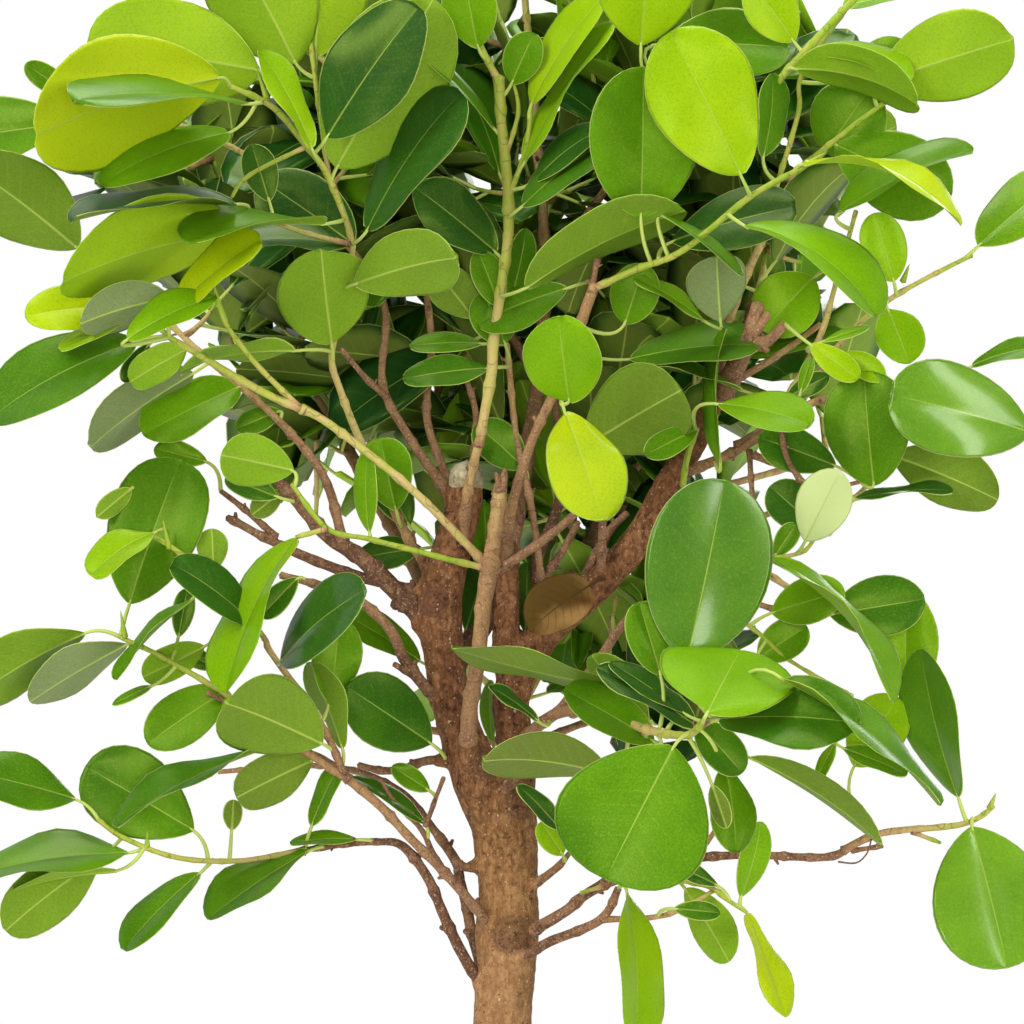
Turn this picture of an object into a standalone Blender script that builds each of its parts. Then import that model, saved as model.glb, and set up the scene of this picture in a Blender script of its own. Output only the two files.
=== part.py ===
"""A round-leaved ficus grown as a small standard, in a plain fired pot.

Units are metres, +Z is up and the origin is the centre of the pot's underside.
The pot, the soil, the trunk with its limbs, every side stem and every modelled leaf are solids of
their own. The plant is laid out as a front elevation: a place is given in centimetres as (offset,
height, forward). Offset and height are read where the sight line from EYE meets the upright plane
through the trunk, and forward is how far the place stands in front of that plane.
"""

import math

import bmesh
import bpy
from mathutils import Vector

# ---------------------------------------------------------------- driving dimensions
CM = 0.01
EYE = Vector((0.00315, -2.2, 0.6404))
TOWARDS_EYE = Vector((0.0, -1.0, 0.0))
GAP = 0.0003

POT_HEIGHT = 0.187
POT_BASE_RADIUS = 0.076
POT_NECK_RADIUS = 0.097
COLLAR_RADIUS = 0.105
COLLAR_HEIGHT = 0.034
POT_WALL = 0.008
POT_FLOOR = 0.010
RIM_ROUNDING = 0.003
POT_STEPS = 48

SOIL_EDGE_HEIGHT = 0.166
SOIL_CROWN_HEIGHT = 0.171
SOIL_STEPS = 32

TRUNK_FOOT = 9.0
ROOT_COUNT = 5
ROOT_STEPS = [(0.011, 0.194, 0.006), (0.022, 0.176, 0.0072), (0.035, 0.166, 0.0055), (0.048, 0.154, 0.0035)]
TRUNK_ROUNDING = 3
STEM_ROUNDING = 1

LEAF_THICKNESS = 0.0011
STALK_WIDTH = 0.0018
STALK_GAP = 0.0006
LEAF_ROWS = 8
LEAF_ARCH = 0.10
LEAF_FOLD = 0.12

# ---------------------------------------------------------------- wood
# runs of (offset, height, forward, radius) in cm
TRUNK_RUNS = [
    # clear stem, from inside the soil to the fork
    [(0.0, TRUNK_FOOT, 0.0, 1.9), (0.1, 13.0, 0.0, 2.2), (0.05, 16.5, 0.0, 2.2), (-0.1, 18.6, 0.0, 1.85),
     (-0.2, 21.5, 0.0, 1.55), (-0.25, 27.0, 0.0, 1.43), (-0.1, 33.0, 0.0, 1.38), (-0.15, 38.0, 0.0, 1.35),
     (-0.12, 41.0, 0.0, 1.33), (0.05, 43.5, 0.0, 1.33), (0.1, 45.0, 0.0, 1.46), (0.15, 47.0, 0.0, 1.36),
     (-0.05, 50.0, 0.0, 1.52), (-0.3, 51.8, 0.0, 1.4)],
    # left leader, sawn off at its top
    [(-0.1, 49.5, 0.0, 1.2), (-1.1, 51.8, 0.1, 1.2), (-1.95, 54.0, 0.1, 0.98), (-2.5, 56.0, 0.1, 0.88),
     (-2.8, 58.0, 0.1, 0.95), (-3.0, 60.0, 0.1, 1.08), (-2.5, 62.0, 0.1, 0.88), (-1.95, 64.0, 0.1, 0.84),
     (-1.72, 66.0, 0.1, 0.84)],
    # right leader and right limb
    [(0.0, 49.5, -0.1, 0.9), (0.6, 51.8, -0.3, 0.8), (0.4, 54.0, -0.6, 0.85), (0.35, 56.0, -0.9, 0.85),
     (1.8, 58.6, -1.1, 0.8), (4.0, 60.6, -1.0, 0.75), (6.0, 62.8, -0.8, 0.68), (7.3, 65.3, -0.5, 0.6),
     (8.6, 67.2, -0.3, 0.55), (9.6, 69.5, 0.0, 0.48), (10.6, 71.0, 0.2, 0.42), (11.2, 73.5, 0.3, 0.3)],
    # inner limb
    [(0.35, 56.0, -0.9, 0.7), (0.05, 58.0, -0.9, 0.65), (0.1, 60.0, -0.8, 0.58), (0.1, 62.5, -0.6, 0.45)],
]

STEM_RUNS = {
    "stem_left_low": [
        [(-0.6, 45.0, 0.6, 0.25), (-1.9, 46.9, 1.7, 0.22), (-3.0, 48.1, 2.2, 0.2), (-4.3, 49.4, 2.6, 0.2),
         (-5.3, 50.5, 2.8, 0.2), (-6.3, 51.4, 3.0, 0.2), (-7.2, 52.1, 3.2, 0.2), (-9.0, 53.3, 3.4, 0.17),
         (-12.2, 55.6, 3.8, 0.14), (-15.2, 57.4, 4.2, 0.12), (-17.3, 58.4, 4.5, 0.1)],
        [(-7.2, 52.1, 3.2, 0.18), (-8.0, 54.0, 3.9, 0.16), (-9.3, 56.0, 4.2, 0.15),
         (-10.6, 57.8, 4.4, 0.14), (-11.1, 58.7, 4.4, 0.13), (-14.3, 61.9, 4.2, 0.12),
         (-15.9, 63.0, 4.2, 0.1)],
    ],
    "stem_left_long": [
        [(-0.9, 42.4, 0.2, 0.26), (-2.1, 44.5, 0.7, 0.25), (-2.8, 46.0, 0.9, 0.23),
         (-3.5, 47.6, 1.0, 0.22), (-4.6, 49.0, 1.1, 0.2), (-5.8, 49.2, 1.3, 0.16),
         (-7.5, 49.05, 1.6, 0.14), (-9.0, 48.85, 1.9, 0.13), (-11.9, 48.35, 2.4, 0.12),
         (-14.8, 48.5, 3.0, 0.12), (-17.2, 49.4, 3.4, 0.12), (-18.3, 50.2, 3.6, 0.1)],
    ],
    "stem_left_rear": [
        [(-0.7, 42.0, -0.6, 0.22), (-1.6, 44.5, -0.8, 0.2), (-1.9, 46.0, -0.9, 0.2),
         (-2.2, 47.2, -1.0, 0.2), (-3.0, 49.6, -1.2, 0.18), (-4.9, 51.6, -2.2, 0.16),
         (-8.0, 51.8, -4.5, 0.14), (-12.0, 50.5, -6.5, 0.11)],
    ],
    "stem_left_spur": [
        [(-1.6, 52.9, 0.2, 0.22), (-3.5, 52.85, 0.3, 0.2), (-4.5, 52.5, 0.5, 0.19), (-5.5, 52.4, 0.6, 0.18),
         (-6.6, 52.65, 0.6, 0.15)],
    ],
    "limb_left": [
        [(-3.1, 58.6, 0.1, 0.5), (-5.0, 60.6, 0.5, 0.42), (-6.5, 62.0, 0.8, 0.38), (-8.0, 63.0, 1.1, 0.33),
         (-9.6, 64.8, 1.4, 0.28), (-10.2, 65.4, 1.5, 0.25)],
        [(-7.3, 62.7, 1.0, 0.24), (-8.0, 65.3, 0.7, 0.2), (-9.2, 67.1, 0.4, 0.18), (-11.0, 68.9, 0.2, 0.16),
         (-13.7, 71.2, 0.0, 0.14), (-16.6, 74.0, 0.2, 0.12), (-18.4, 75.6, 0.5, 0.1)],
        [(-3.6, 60.3, 0.1, 0.3), (-5.2, 60.8, 0.4, 0.27), (-6.8, 61.2, 0.5, 0.25), (-9.6, 62.3, 0.7, 0.22),
         (-12.5, 63.8, 1.0, 0.16)],
    ],
    "stem_left_inner": [
        [(-2.6, 55.0, 0.3, 0.28), (-4.4, 57.2, 1.0, 0.25), (-5.2, 58.8, 1.5, 0.23), (-6.6, 60.1, 1.9, 0.2),
         (-7.8, 60.6, 2.1, 0.18), (-10.1, 61.2, 2.4, 0.15)],
    ],
    "shoot_front": [
        [(-1.6, 52.9, 0.9, 0.4), (-1.6, 55.0, 1.65, 0.38), (-1.2, 57.5, 2.1, 0.37), (-0.8, 61.5, 2.4, 0.4),
         (-0.45, 63.0, 2.5, 0.33), (-0.2, 65.4, 2.6, 0.33)],
        [(-0.8, 61.6, 2.4, 0.2), (-2.5, 63.4, 2.9, 0.17), (-4.7, 65.5, 3.6, 0.16), (-7.9, 68.0, 4.4, 0.15),
         (-11.2, 69.6, 5.2, 0.14), (-15.1, 71.9, 6.0, 0.12)],
        [(-0.8, 61.5, 2.4, 0.17), (-2.5, 61.9, 2.9, 0.13), (-6.0, 62.8, 3.6, 0.12), (-8.0, 63.3, 4.2, 0.12),
         (-9.6, 65.3, 4.6, 0.1)],
    ],
    "shoot_centre": [
        [(-1.9, 63.2, 0.4, 0.35), (-1.5, 66.0, 1.4, 0.33), (-0.8, 69.5, 1.7, 0.3), (-0.5, 71.9, 1.8, 0.28),
         (0.1, 76.0, 2.0, 0.25), (0.0, 80.0, 2.1, 0.24), (-0.25, 83.6, 2.2, 0.22), (-1.4, 86.0, 2.2, 0.16),
         (-2.0, 90.0, 2.2, 0.12)],
        [(0.05, 78.0, 2.05, 0.14), (0.9, 80.2, 2.6, 0.12), (1.2, 82.4, 2.9, 0.1)],
    ],
    "shoot_left": [
        [(-3.0, 60.9, 0.1, 0.26), (-4.2, 62.6, -0.1, 0.22), (-5.4, 65.0, 0.1, 0.2), (-6.5, 67.2, 0.5, 0.18),
         (-7.4, 69.5, 1.0, 0.16), (-7.8, 71.1, 1.3, 0.14), (-7.2, 73.6, 1.9, 0.14), (-6.9, 76.1, 2.6, 0.14),
         (-7.9, 79.0, 3.8, 0.14), (-9.0, 80.6, 4.6, 0.13), (-10.5, 82.3, 5.4, 0.13),
         (-12.4, 83.2, 6.0, 0.11)],
        [(-7.9, 79.0, 3.8, 0.12), (-8.6, 84.0, 3.4, 0.12), (-9.0, 88.0, 2.8, 0.1)],
    ],
    "shoot_left_upper": [
        [(-2.2, 64.4, 0.1, 0.26), (-3.5, 66.2, 0.2, 0.23), (-4.3, 67.4, 0.0, 0.2), (-5.5, 69.8, -0.6, 0.17),
         (-5.5, 73.6, -1.5, 0.15), (-8.0, 77.0, -2.0, 0.14), (-12.0, 80.3, -2.0, 0.13),
         (-16.5, 81.9, -1.2, 0.11), (-19.2, 81.8, -0.6, 0.1)],
    ],
    "shoot_right": [
        [(0.1, 61.5, -0.6, 0.3), (0.25, 64.0, 1.2, 0.28), (1.2, 67.2, 2.4, 0.25), (2.1, 69.2, 3.0, 0.24),
         (3.2, 72.0, 3.3, 0.23), (4.2, 74.6, 3.4, 0.22)],
        [(4.0, 74.1, 3.4, 0.15), (6.0, 75.0, 4.4, 0.15), (8.0, 75.8, 5.2, 0.14), (11.0, 78.2, 6.2, 0.14),
         (13.5, 79.6, 7.0, 0.12)],
    ],
    "stem_right_mid": [
        [(7.6, 65.6, -0.4, 0.26), (10.6, 66.9, 1.4, 0.2), (13.5, 68.8, 2.6, 0.18), (15.1, 69.0, 3.2, 0.16),
         (18.3, 67.9, 4.4, 0.14), (21.5, 67.4, 5.2, 0.12), (24.0, 67.6, 5.8, 0.1)],
        [(12.9, 68.3, 2.4, 0.16), (15.0, 71.5, 2.0, 0.14), (17.3, 73.6, 2.4, 0.12), (21.0, 75.6, 2.8, 0.1)],
    ],
    "stem_right_upper": [
        [(9.4, 69.0, 0.0, 0.28), (10.2, 73.0, 1.6, 0.2), (11.6, 76.3, 2.2, 0.18), (12.6, 79.0, 2.0, 0.16),
         (13.2, 83.5, 1.6, 0.14), (15.6, 87.0, 1.0, 0.12)],
        [(12.6, 79.0, 2.0, 0.13), (17.0, 82.4, 2.6, 0.11), (18.4, 82.9, 2.9, 0.1)],
    ],
    "stem_right_low": [
        [(0.6, 44.9, 0.4, 0.27), (2.6, 46.0, 1.1, 0.25), (4.5, 47.3, 1.7, 0.23), (8.4, 48.4, 2.6, 0.2),
         (11.0, 48.6, 3.2, 0.18), (14.4, 48.5, 3.8, 0.17), (17.0, 49.6, 4.4, 0.16), (20.6, 50.0, 5.0, 0.13),
         (22.0, 50.8, 5.2, 0.1)],
    ],
    "stem_right_fork": [
        [(0.3, 43.9, 0.7, 0.24), (2.0, 44.7, 1.9, 0.22), (4.3, 45.7, 3.0, 0.2), (5.1, 47.1, 3.6, 0.17)],
        [(4.3, 45.7, 3.0, 0.15), (7.2, 45.9, 4.0, 0.12), (9.4, 47.0, 4.4, 0.1)],
    ],
    "stem_right_inner": [
        [(0.4, 53.4, -0.2, 0.3), (2.4, 55.0, 1.9, 0.27), (4.6, 54.8, 5.5, 0.23), (6.6, 54.2, 9.0, 0.2),
         (8.2, 54.0, 12.0, 0.16), (8.8, 54.5, 13.2, 0.13)],
        [(2.4, 55.0, 1.9, 0.22), (4.2, 57.4, 2.6, 0.2), (6.0, 59.6, 3.0, 0.18), (9.0, 60.4, 4.0, 0.15),
         (13.0, 59.4, 5.0, 0.12)],
    ],
    "bough_rear_left": [
        [(-2.9, 58.8, 0.0, 0.42), (-4.0, 61.5, -4.0, 0.38), (-6.0, 65.0, -8.0, 0.32),
         (-8.5, 69.5, -12.0, 0.26), (-10.5, 74.0, -15.0, 0.2), (-12.0, 79.0, -17.0, 0.15)],
        [(-6.0, 65.0, -8.0, 0.25), (-3.5, 68.0, -12.0, 0.2), (-2.5, 73.0, -15.5, 0.15),
         (-3.0, 78.0, -17.5, 0.12)],
    ],
    "bough_rear_right": [
        [(1.8, 58.5, -1.2, 0.4), (2.8, 60.5, -4.5, 0.36), (4.5, 64.0, -8.5, 0.3), (7.5, 68.5, -12.0, 0.25),
         (10.5, 73.0, -14.5, 0.2), (13.5, 78.0, -16.0, 0.15)],
        [(4.5, 64.0, -8.5, 0.22), (9.0, 65.0, -11.5, 0.18), (14.5, 66.5, -13.5, 0.14)],
    ],
    "bough_rear_low": [
        [(0.0, 50.0, -0.9, 0.36), (0.4, 51.5, -3.0, 0.32), (0.8, 53.5, -7.0, 0.28), (0.5, 55.0, -11.0, 0.2),
         (-1.5, 57.0, -16.0, 0.15)],
        [(0.8, 53.5, -7.0, 0.2), (5.0, 55.0, -11.0, 0.17), (8.5, 55.5, -14.5, 0.13)],
        [(0.8, 53.5, -7.0, 0.2), (-5.0, 54.5, -10.0, 0.17), (-9.0, 55.0, -13.0, 0.13)],
    ],
    "bough_top": [
        [(0.1, 61.8, -0.7, 0.4), (0.7, 65.0, -2.5, 0.38), (1.5, 70.0, -4.0, 0.33), (1.8, 75.0, -5.0, 0.28),
         (1.5, 80.0, -5.5, 0.22), (1.0, 86.0, -5.0, 0.17), (0.5, 91.0, -4.5, 0.12)],
        [(1.5, 70.0, -4.0, 0.24), (-1.5, 75.0, -7.0, 0.2), (-4.5, 81.0, -8.5, 0.16),
         (-7.0, 87.0, -8.0, 0.12)],
        [(1.8, 75.0, -5.0, 0.22), (5.5, 80.0, -7.5, 0.17), (8.5, 86.0, -8.0, 0.13)],
    ],
}

# ---------------------------------------------------------------- leaves
# name: base, tip, width as seen from EYE, full width, and the side seen, 1 upper or -1 under
LEAVES = {
    # upper left
    "leaf_left_high": ((-12.8, 83.0, 6.6), (-21.0, 79.6, 12.0), 5.2, 5.4, -1),
    "leaf_left_high_rear": ((-12.4, 83.8, 5.0), (-18.8, 85.6, 4.0), 4.5, 4.8, -1),
    "leaf_left_edge_high": ((-19.9, 81.6, -0.6), (-25.5, 80.5, -2.5), 3.2, 4.6, 1),
    "leaf_left_edge_mid": ((-19.1, 76.0, 1.0), (-24.6, 80.8, 3.8), 4.5, 4.6, -1),
    "leaf_left_reach": ((-16.6, 71.7, 6.3), (-23.5, 68.4, 7.8), 3.2, 4.4, 1),
    "leaf_dark_high": ((-8.2, 80.9, 4.8), (-3.7, 86.9, 6.8), 4.3, 4.6, 1),
    "leaf_left_crown": ((-7.8, 71.6, 1.8), (-8.3, 75.9, 4.4), 4.2, 4.4, -1),
    # left side and low left
    "leaf_left_mid": ((-16.1, 60.6, 3.0), (-14.0, 66.3, 2.2), 3.6, 4.6, -1),
    "leaf_left_low": ((-18.8, 58.5, 4.7), (-24.4, 55.2, 5.6), 2.6, 3.9, -1),
    "leaf_left_foot": ((-19.3, 51.0, 3.8), (-24.8, 52.0, 4.8), 2.1, 3.8, 1),
    "leaf_left_heart": ((-8.6, 53.5, 4.0), (-12.6, 55.4, 8.0), 3.4, 4.6, -1),
    "leaf_left_dark": ((-8.7, 57.0, 5.2), (-5.8, 60.3, 8.6), 2.4, 4.2, 1),
    # middle
    "leaf_round_low": ((7.6, 53.5, 13.0), (4.5, 47.5, 14.4), 6.6, 6.7, 1),
    "leaf_glossy": ((8.2, 57.4, 9.6), (9.9, 65.5, 9.2), 5.6, 5.8, 1),
    "leaf_lime_front": ((9.1, 55.0, 15.2), (10.6, 57.7, 10.8), 5.8, 5.9, 1),
    "leaf_under_front": ((4.9, 56.4, 7.0), (-2.0, 58.0, 8.4), 1.4, 4.2, -1),
    "leaf_under_low": ((4.6, 52.5, 6.4), (-1.0, 53.2, 8.4), 2.2, 4.4, -1),
    "leaf_lime_centre": ((2.3, 68.2, 4.0), (3.9, 63.6, 6.6), 3.3, 3.8, 1),
    "leaf_green_centre": ((2.6, 69.8, 4.0), (2.0, 73.2, 6.2), 3.4, 3.8, 1),
    # upper right
    "leaf_lime_high": ((10.4, 78.4, 7.0), (7.4, 85.5, 8.6), 4.4, 4.6, 1),
    "leaf_green_high": ((6.0, 76.6, 5.4), (5.2, 84.0, 6.4), 4.6, 4.6, 1),
    "leaf_right_arch": ((10.8, 77.3, 7.4), (17.0, 73.0, 10.4), 2.2, 4.2, 1),
    "leaf_right_high": ((18.9, 83.7, 3.6), (23.8, 85.4, 5.0), 3.4, 4.0, -1),
    "leaf_right_side": ((21.3, 76.0, 2.8), (25.4, 79.4, 1.4), 2.6, 4.0, 1),
    # right side and low right
    "leaf_right_glossy": ((23.6, 68.2, 6.4), (17.5, 69.6, 8.8), 3.4, 4.4, 1),
    "leaf_right_under": ((19.0, 67.2, 3.4), (23.4, 64.4, 2.0), 3.0, 4.2, 1),
    "leaf_right_rear": ((12.6, 60.0, 5.4), (18.6, 59.7, 4.4), 2.4, 4.0, 1),
    "leaf_right_tall": ((20.2, 50.8, 5.0), (18.6, 57.9, 5.0), 2.4, 3.8, 1),
    "leaf_right_low": ((21.2, 49.6, 5.2), (22.6, 43.5, 6.4), 5.0, 5.4, 1),
    "leaf_drooping": ((5.5, 46.8, 5.0), (6.1, 40.8, 7.6), 2.1, 3.8, 1),
    # top and rear
    "leaf_top_left": ((-9.3, 88.3, 2.8), (-13.0, 93.0, 3.0), 4.2, 4.6, -1),
    "leaf_top_centre": ((-1.6, 90.2, 2.0), (0.5, 95.2, 4.2), 3.6, 4.4, 1),
    "leaf_top_right": ((9.0, 86.6, -8.0), (11.0, 92.5, -10.0), 3.6, 4.4, 1),
    "leaf_rear_left": ((-12.3, 79.4, -17.3), (-15.5, 82.0, -22.5), 3.6, 4.6, -1),
    "leaf_rear_right": ((13.9, 78.4, -16.2), (17.5, 81.5, -21.0), 3.6, 4.6, -1),
    "leaf_rear_low": ((-1.8, 57.4, -16.4), (-3.0, 55.0, -23.0), 3.6, 4.6, -1),
}

LIME_LEAVES = {
    "leaf_left_high", "leaf_left_high_rear", "leaf_lime_front", "leaf_lime_centre", "leaf_lime_high",
    "leaf_top_left", "leaf_top_centre",
}

# ---------------------------------------------------------------- colours: base colour, roughness
FINISHES = {
    "fired_clay": ((0.55, 0.25, 0.15), 0.8),
    "potting_soil": ((0.06, 0.04, 0.028), 0.95),
    "bark": ((0.28, 0.16, 0.09), 0.8),
    "green_stem": ((0.3, 0.26, 0.1), 0.6),
    "leaf_green": ((0.08, 0.25, 0.03), 0.3),
    "leaf_lime": ((0.4, 0.55, 0.04), 0.35),
}


# ---------------------------------------------------------------- helpers
def placed(offset, height, forward=0.0):
    """The place forward cm in front of the trunk's plane, on EYE's sight line through offset and height."""
    on_plane = Vector((offset * CM, 0.0, height * CM))
    return on_plane.lerp(EYE, forward * CM / -EYE.y)


def finish(name):
    """The material of that name, made on first use."""
    material = bpy.data.materials.get(name)
    if material is None:
        colour, roughness = FINISHES[name]
        material = bpy.data.materials.new(name)
        material.use_nodes = True
        shader = material.node_tree.nodes["Principled BSDF"]
        shader.inputs["Base Color"].default_value = (*colour, 1.0)
        shader.inputs["Roughness"].default_value = roughness
        material.diffuse_color = (*colour, 1.0)
    return material


def evaluated_mesh(obj):
    """A plain mesh of the object with its modifiers or its bevel applied."""
    graph = bpy.context.evaluated_depsgraph_get()
    return bpy.data.meshes.new_from_object(obj.evaluated_get(graph))


def traced(run):
    """A run of wood as pairs of a point and a radius, in metres."""
    return [(placed(offset, height, forward), radius * CM) for offset, height, forward, radius in run]


def tube(points, rounding, grow=0.0):
    """A closed round tube through pairs of a point and a radius, grown all round by grow metres."""
    curve = bpy.data.curves.new("run", "CURVE")
    curve.dimensions = "3D"
    curve.bevel_depth = 1.0
    curve.bevel_resolution = rounding
    curve.use_fill_caps = True
    spline = curve.splines.new("POLY")
    spline.points.add(len(points) - 1)
    for knot, (place, radius) in zip(spline.points, points):
        knot.co = (*place, 1.0)
        knot.radius = radius + grow
    run = bpy.data.objects.new("run", curve)
    bpy.context.scene.collection.objects.link(run)
    solid = bpy.data.objects.new("run_solid", evaluated_mesh(run))
    bpy.context.scene.collection.objects.link(solid)
    bpy.data.objects.remove(run)
    shape = bmesh.new()
    shape.from_mesh(solid.data)
    bmesh.ops.remove_doubles(shape, verts=shape.verts, dist=1e-6)
    shape.to_mesh(solid.data)
    shape.free()
    return solid


def boolean(body, other, operation):
    """Adds or cuts another object with a Boolean modifier, applies it and removes the other object."""
    step = body.modifiers.new(operation.lower(), "BOOLEAN")
    step.operation = operation
    step.object = other
    result = evaluated_mesh(body)
    body.modifiers.clear()
    body.data = result


def joined(runs, rounding, grow=0.0):
    """One solid of several traced runs of wood."""
    first, *rest = [tube(points, rounding, grow) for points in runs]
    for other in rest:
        boolean(first, other, "UNION")
        bpy.data.objects.remove(other)
    return first


def kept(obj, name, material):
    """Names a finished sub-part, gives it its material and files it with the plant."""
    obj.name = name
    obj.data.name = name
    obj.data.materials.clear()
    obj.data.materials.append(finish(material))
    for collection in list(obj.users_collection):
        collection.objects.unlink(obj)
    plant.objects.link(obj)
    return obj


def turned(name, profile, steps, material):
    """A solid turned about Z from its profile of (radius, height), which runs down its outer side."""
    mesh = bpy.data.meshes.new(name)
    mesh.from_pydata([(r, 0.0, z) for r, z in profile], [(i, i + 1) for i in range(len(profile) - 1)], [])
    obj = bpy.data.objects.new(name, mesh)
    bpy.context.scene.collection.objects.link(obj)
    screw = obj.modifiers.new("turn", "SCREW")
    screw.steps = steps
    screw.render_steps = steps
    screw.use_merge_vertices = True
    screw.merge_threshold = 0.0001
    obj.data = evaluated_mesh(obj)
    obj.modifiers.clear()
    return kept(obj, name, material)


# ---------------------------------------------------------------- pot and soil
def wall_radius(height):
    """The pot's inner radius at a height: the body tapers evenly from the neck to the base."""
    share = height / (POT_HEIGHT - COLLAR_HEIGHT)
    return POT_BASE_RADIUS + (POT_NECK_RADIUS - POT_BASE_RADIUS) * share - POT_WALL


def make_pot():
    """The tapered pot with its raised collar and rounded rim."""
    shoulder = POT_HEIGHT - COLLAR_HEIGHT
    mouth = wall_radius(POT_HEIGHT)
    profile = [
        (0.0, POT_FLOOR),
        (wall_radius(POT_FLOOR), POT_FLOOR),
        (mouth, POT_HEIGHT - RIM_ROUNDING),
        (mouth + RIM_ROUNDING, POT_HEIGHT),
        (COLLAR_RADIUS - RIM_ROUNDING, POT_HEIGHT),
        (COLLAR_RADIUS, POT_HEIGHT - RIM_ROUNDING),
        (COLLAR_RADIUS, shoulder + RIM_ROUNDING),
        (COLLAR_RADIUS - RIM_ROUNDING, shoulder),
        (POT_NECK_RADIUS, shoulder),
        (POT_BASE_RADIUS, RIM_ROUNDING),
        (POT_BASE_RADIUS - RIM_ROUNDING, 0.0),
        (0.0, 0.0),
    ]
    return turned("pot", profile, POT_STEPS, "fired_clay")


def root_runs():
    """Surface roots that leave the trunk's foot and dive into the soil, evenly spread."""
    runs = []
    for index in range(ROOT_COUNT):
        turn = math.tau * (index + 0.3) / ROOT_COUNT
        side, front = math.cos(turn), math.sin(turn)
        runs.append([
            (Vector((side * out, front * out, height)), radius) for out, height, radius in ROOT_STEPS
        ])
    return runs


def make_soil():
    """Soil that fills the pot to under its rim, rises a little to the trunk and is cut round its foot."""
    floor = POT_FLOOR + GAP
    profile = [
        (0.0, SOIL_CROWN_HEIGHT),
        (0.03, SOIL_CROWN_HEIGHT),
        (0.06, (SOIL_CROWN_HEIGHT + SOIL_EDGE_HEIGHT) / 2),
        (wall_radius(SOIL_EDGE_HEIGHT) - 2 * GAP, SOIL_EDGE_HEIGHT),
        (wall_radius(floor) - 2 * GAP, floor),
        (0.0, floor),
    ]
    soil = turned("soil", profile, SOIL_STEPS, "potting_soil")
    clear_stem = traced(TRUNK_RUNS[0][:6])
    foot, foot_radius = clear_stem[0]
    clear_stem[0] = (foot - Vector((0.0, 0.0, GAP)), foot_radius)
    hole = joined([clear_stem] + root_runs(), TRUNK_ROUNDING, GAP)
    boolean(soil, hole, "DIFFERENCE")
    bpy.data.objects.remove(hole)
    return kept(soil, "soil", "potting_soil")


# ---------------------------------------------------------------- wood
def make_wood():
    """The trunk with its limbs, and each side stem cut back to leave a hairline gap round the trunk."""
    limbs = [traced(run) for run in TRUNK_RUNS]
    kept(joined(limbs + root_runs(), TRUNK_ROUNDING), "trunk", "bark")
    cutter = joined(limbs, TRUNK_ROUNDING, GAP)
    cutter.name = "trunk_clearance"
    cutter.hide_render = True
    cutter.display_type = "WIRE"
    for name, runs in STEM_RUNS.items():
        stem = joined([traced(run) for run in runs], STEM_ROUNDING)
        boolean(stem, cutter, "DIFFERENCE")
        kept(stem, name, "bark" if name.startswith(("bough", "limb")) else "green_stem")
    bpy.data.objects.remove(cutter)


def nearest_wood(place):
    """The point on a stem's or the trunk's middle line nearest to a place, and the wood's radius there."""
    best = None
    for run in [run for runs in STEM_RUNS.values() for run in runs] + TRUNK_RUNS:
        points = traced(run)
        for (head, head_radius), (tail, tail_radius) in zip(points, points[1:]):
            along = tail - head
            share = min(max((place - head).dot(along) / along.length_squared, 0.0), 1.0)
            point = head + along * share
            distance = (place - point).length
            if best is None or distance < best[0]:
                best = (distance, point, head_radius + (tail_radius - head_radius) * share)
    return best[1], best[2]


# ---------------------------------------------------------------- leaves
def blade_normal(axis, seen_width, width, side):
    """The upper side's direction for a blade along axis that shows seen_width of its width to EYE."""
    across = axis.cross(TOWARDS_EYE).normalized()
    if across.z + 0.3 * across.x * math.copysign(1.0, axis.x) < 0.0:
        across.negate()
    share = min(seen_width / width, 0.98)
    normal = TOWARDS_EYE * share * side + across * math.sqrt(1.0 - share * share)
    return (normal - axis * normal.dot(axis)).normalized()


def blade_half_width(share, width):
    """Half the blade's width at a share of its length: narrow at the stalk, widest past the middle."""
    outline = math.sin(math.pi * share**1.12) ** 0.55 if 0.0 < share < 1.0 else 0.0
    return max(width / 2 * outline, STALK_WIDTH / 2)


def make_leaf(name, base, tip, seen_width, width, side):
    """A leaf as one thin closed solid: a grid along its stalk and blade, thickened by Solidify."""
    base, tip = placed(*base), placed(*tip)
    root, radius = nearest_wood(base)
    outwards = (base - root).normalized()
    start = root + outwards * (radius + STALK_GAP)
    axis = (tip - base).normalized()
    normal = blade_normal(axis, seen_width, width, side)
    arch = normal * (tip - base).length * LEAF_ARCH
    middle = (base + tip) / 2 + arch
    shape = bmesh.new()
    rows = []
    for step in range(LEAF_ROWS + 1):
        share = step / LEAF_ROWS
        place = base.lerp(middle, share).lerp(middle.lerp(tip, share), share)
        half = blade_half_width(share, width * CM)
        rows.append((place, axis.cross(normal).normalized(), normal, half))
    stalk = (base - start).normalized()
    stalk_side = stalk.cross(normal)
    if stalk_side.length < 0.2:
        stalk_side = stalk.cross(axis)
    if stalk_side.dot(rows[0][1]) < 0.0:
        stalk_side.negate()
    rows.insert(0, (start, stalk_side.normalized(), stalk.cross(stalk_side).normalized(), STALK_WIDTH / 2))
    made = []
    for place, sideways, up, half in rows:
        lift = up * half * LEAF_FOLD
        ends = (place - sideways * half + lift, place, place + sideways * half + lift)
        made.append([shape.verts.new(end) for end in ends])
    for low, high in zip(made, made[1:]):
        for k in range(2):
            shape.faces.new((low[k], low[k + 1], high[k + 1], high[k]))
    mesh = bpy.data.meshes.new(name)
    shape.to_mesh(mesh)
    shape.free()
    obj = bpy.data.objects.new(name, mesh)
    bpy.context.scene.collection.objects.link(obj)
    shell = obj.modifiers.new("thickness", "SOLIDIFY")
    shell.thickness = LEAF_THICKNESS
    shell.offset = 0.0
    obj.data = evaluated_mesh(obj)
    obj.modifiers.clear()
    return kept(obj, name, "leaf_lime" if name in LIME_LEAVES else "leaf_green")


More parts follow.
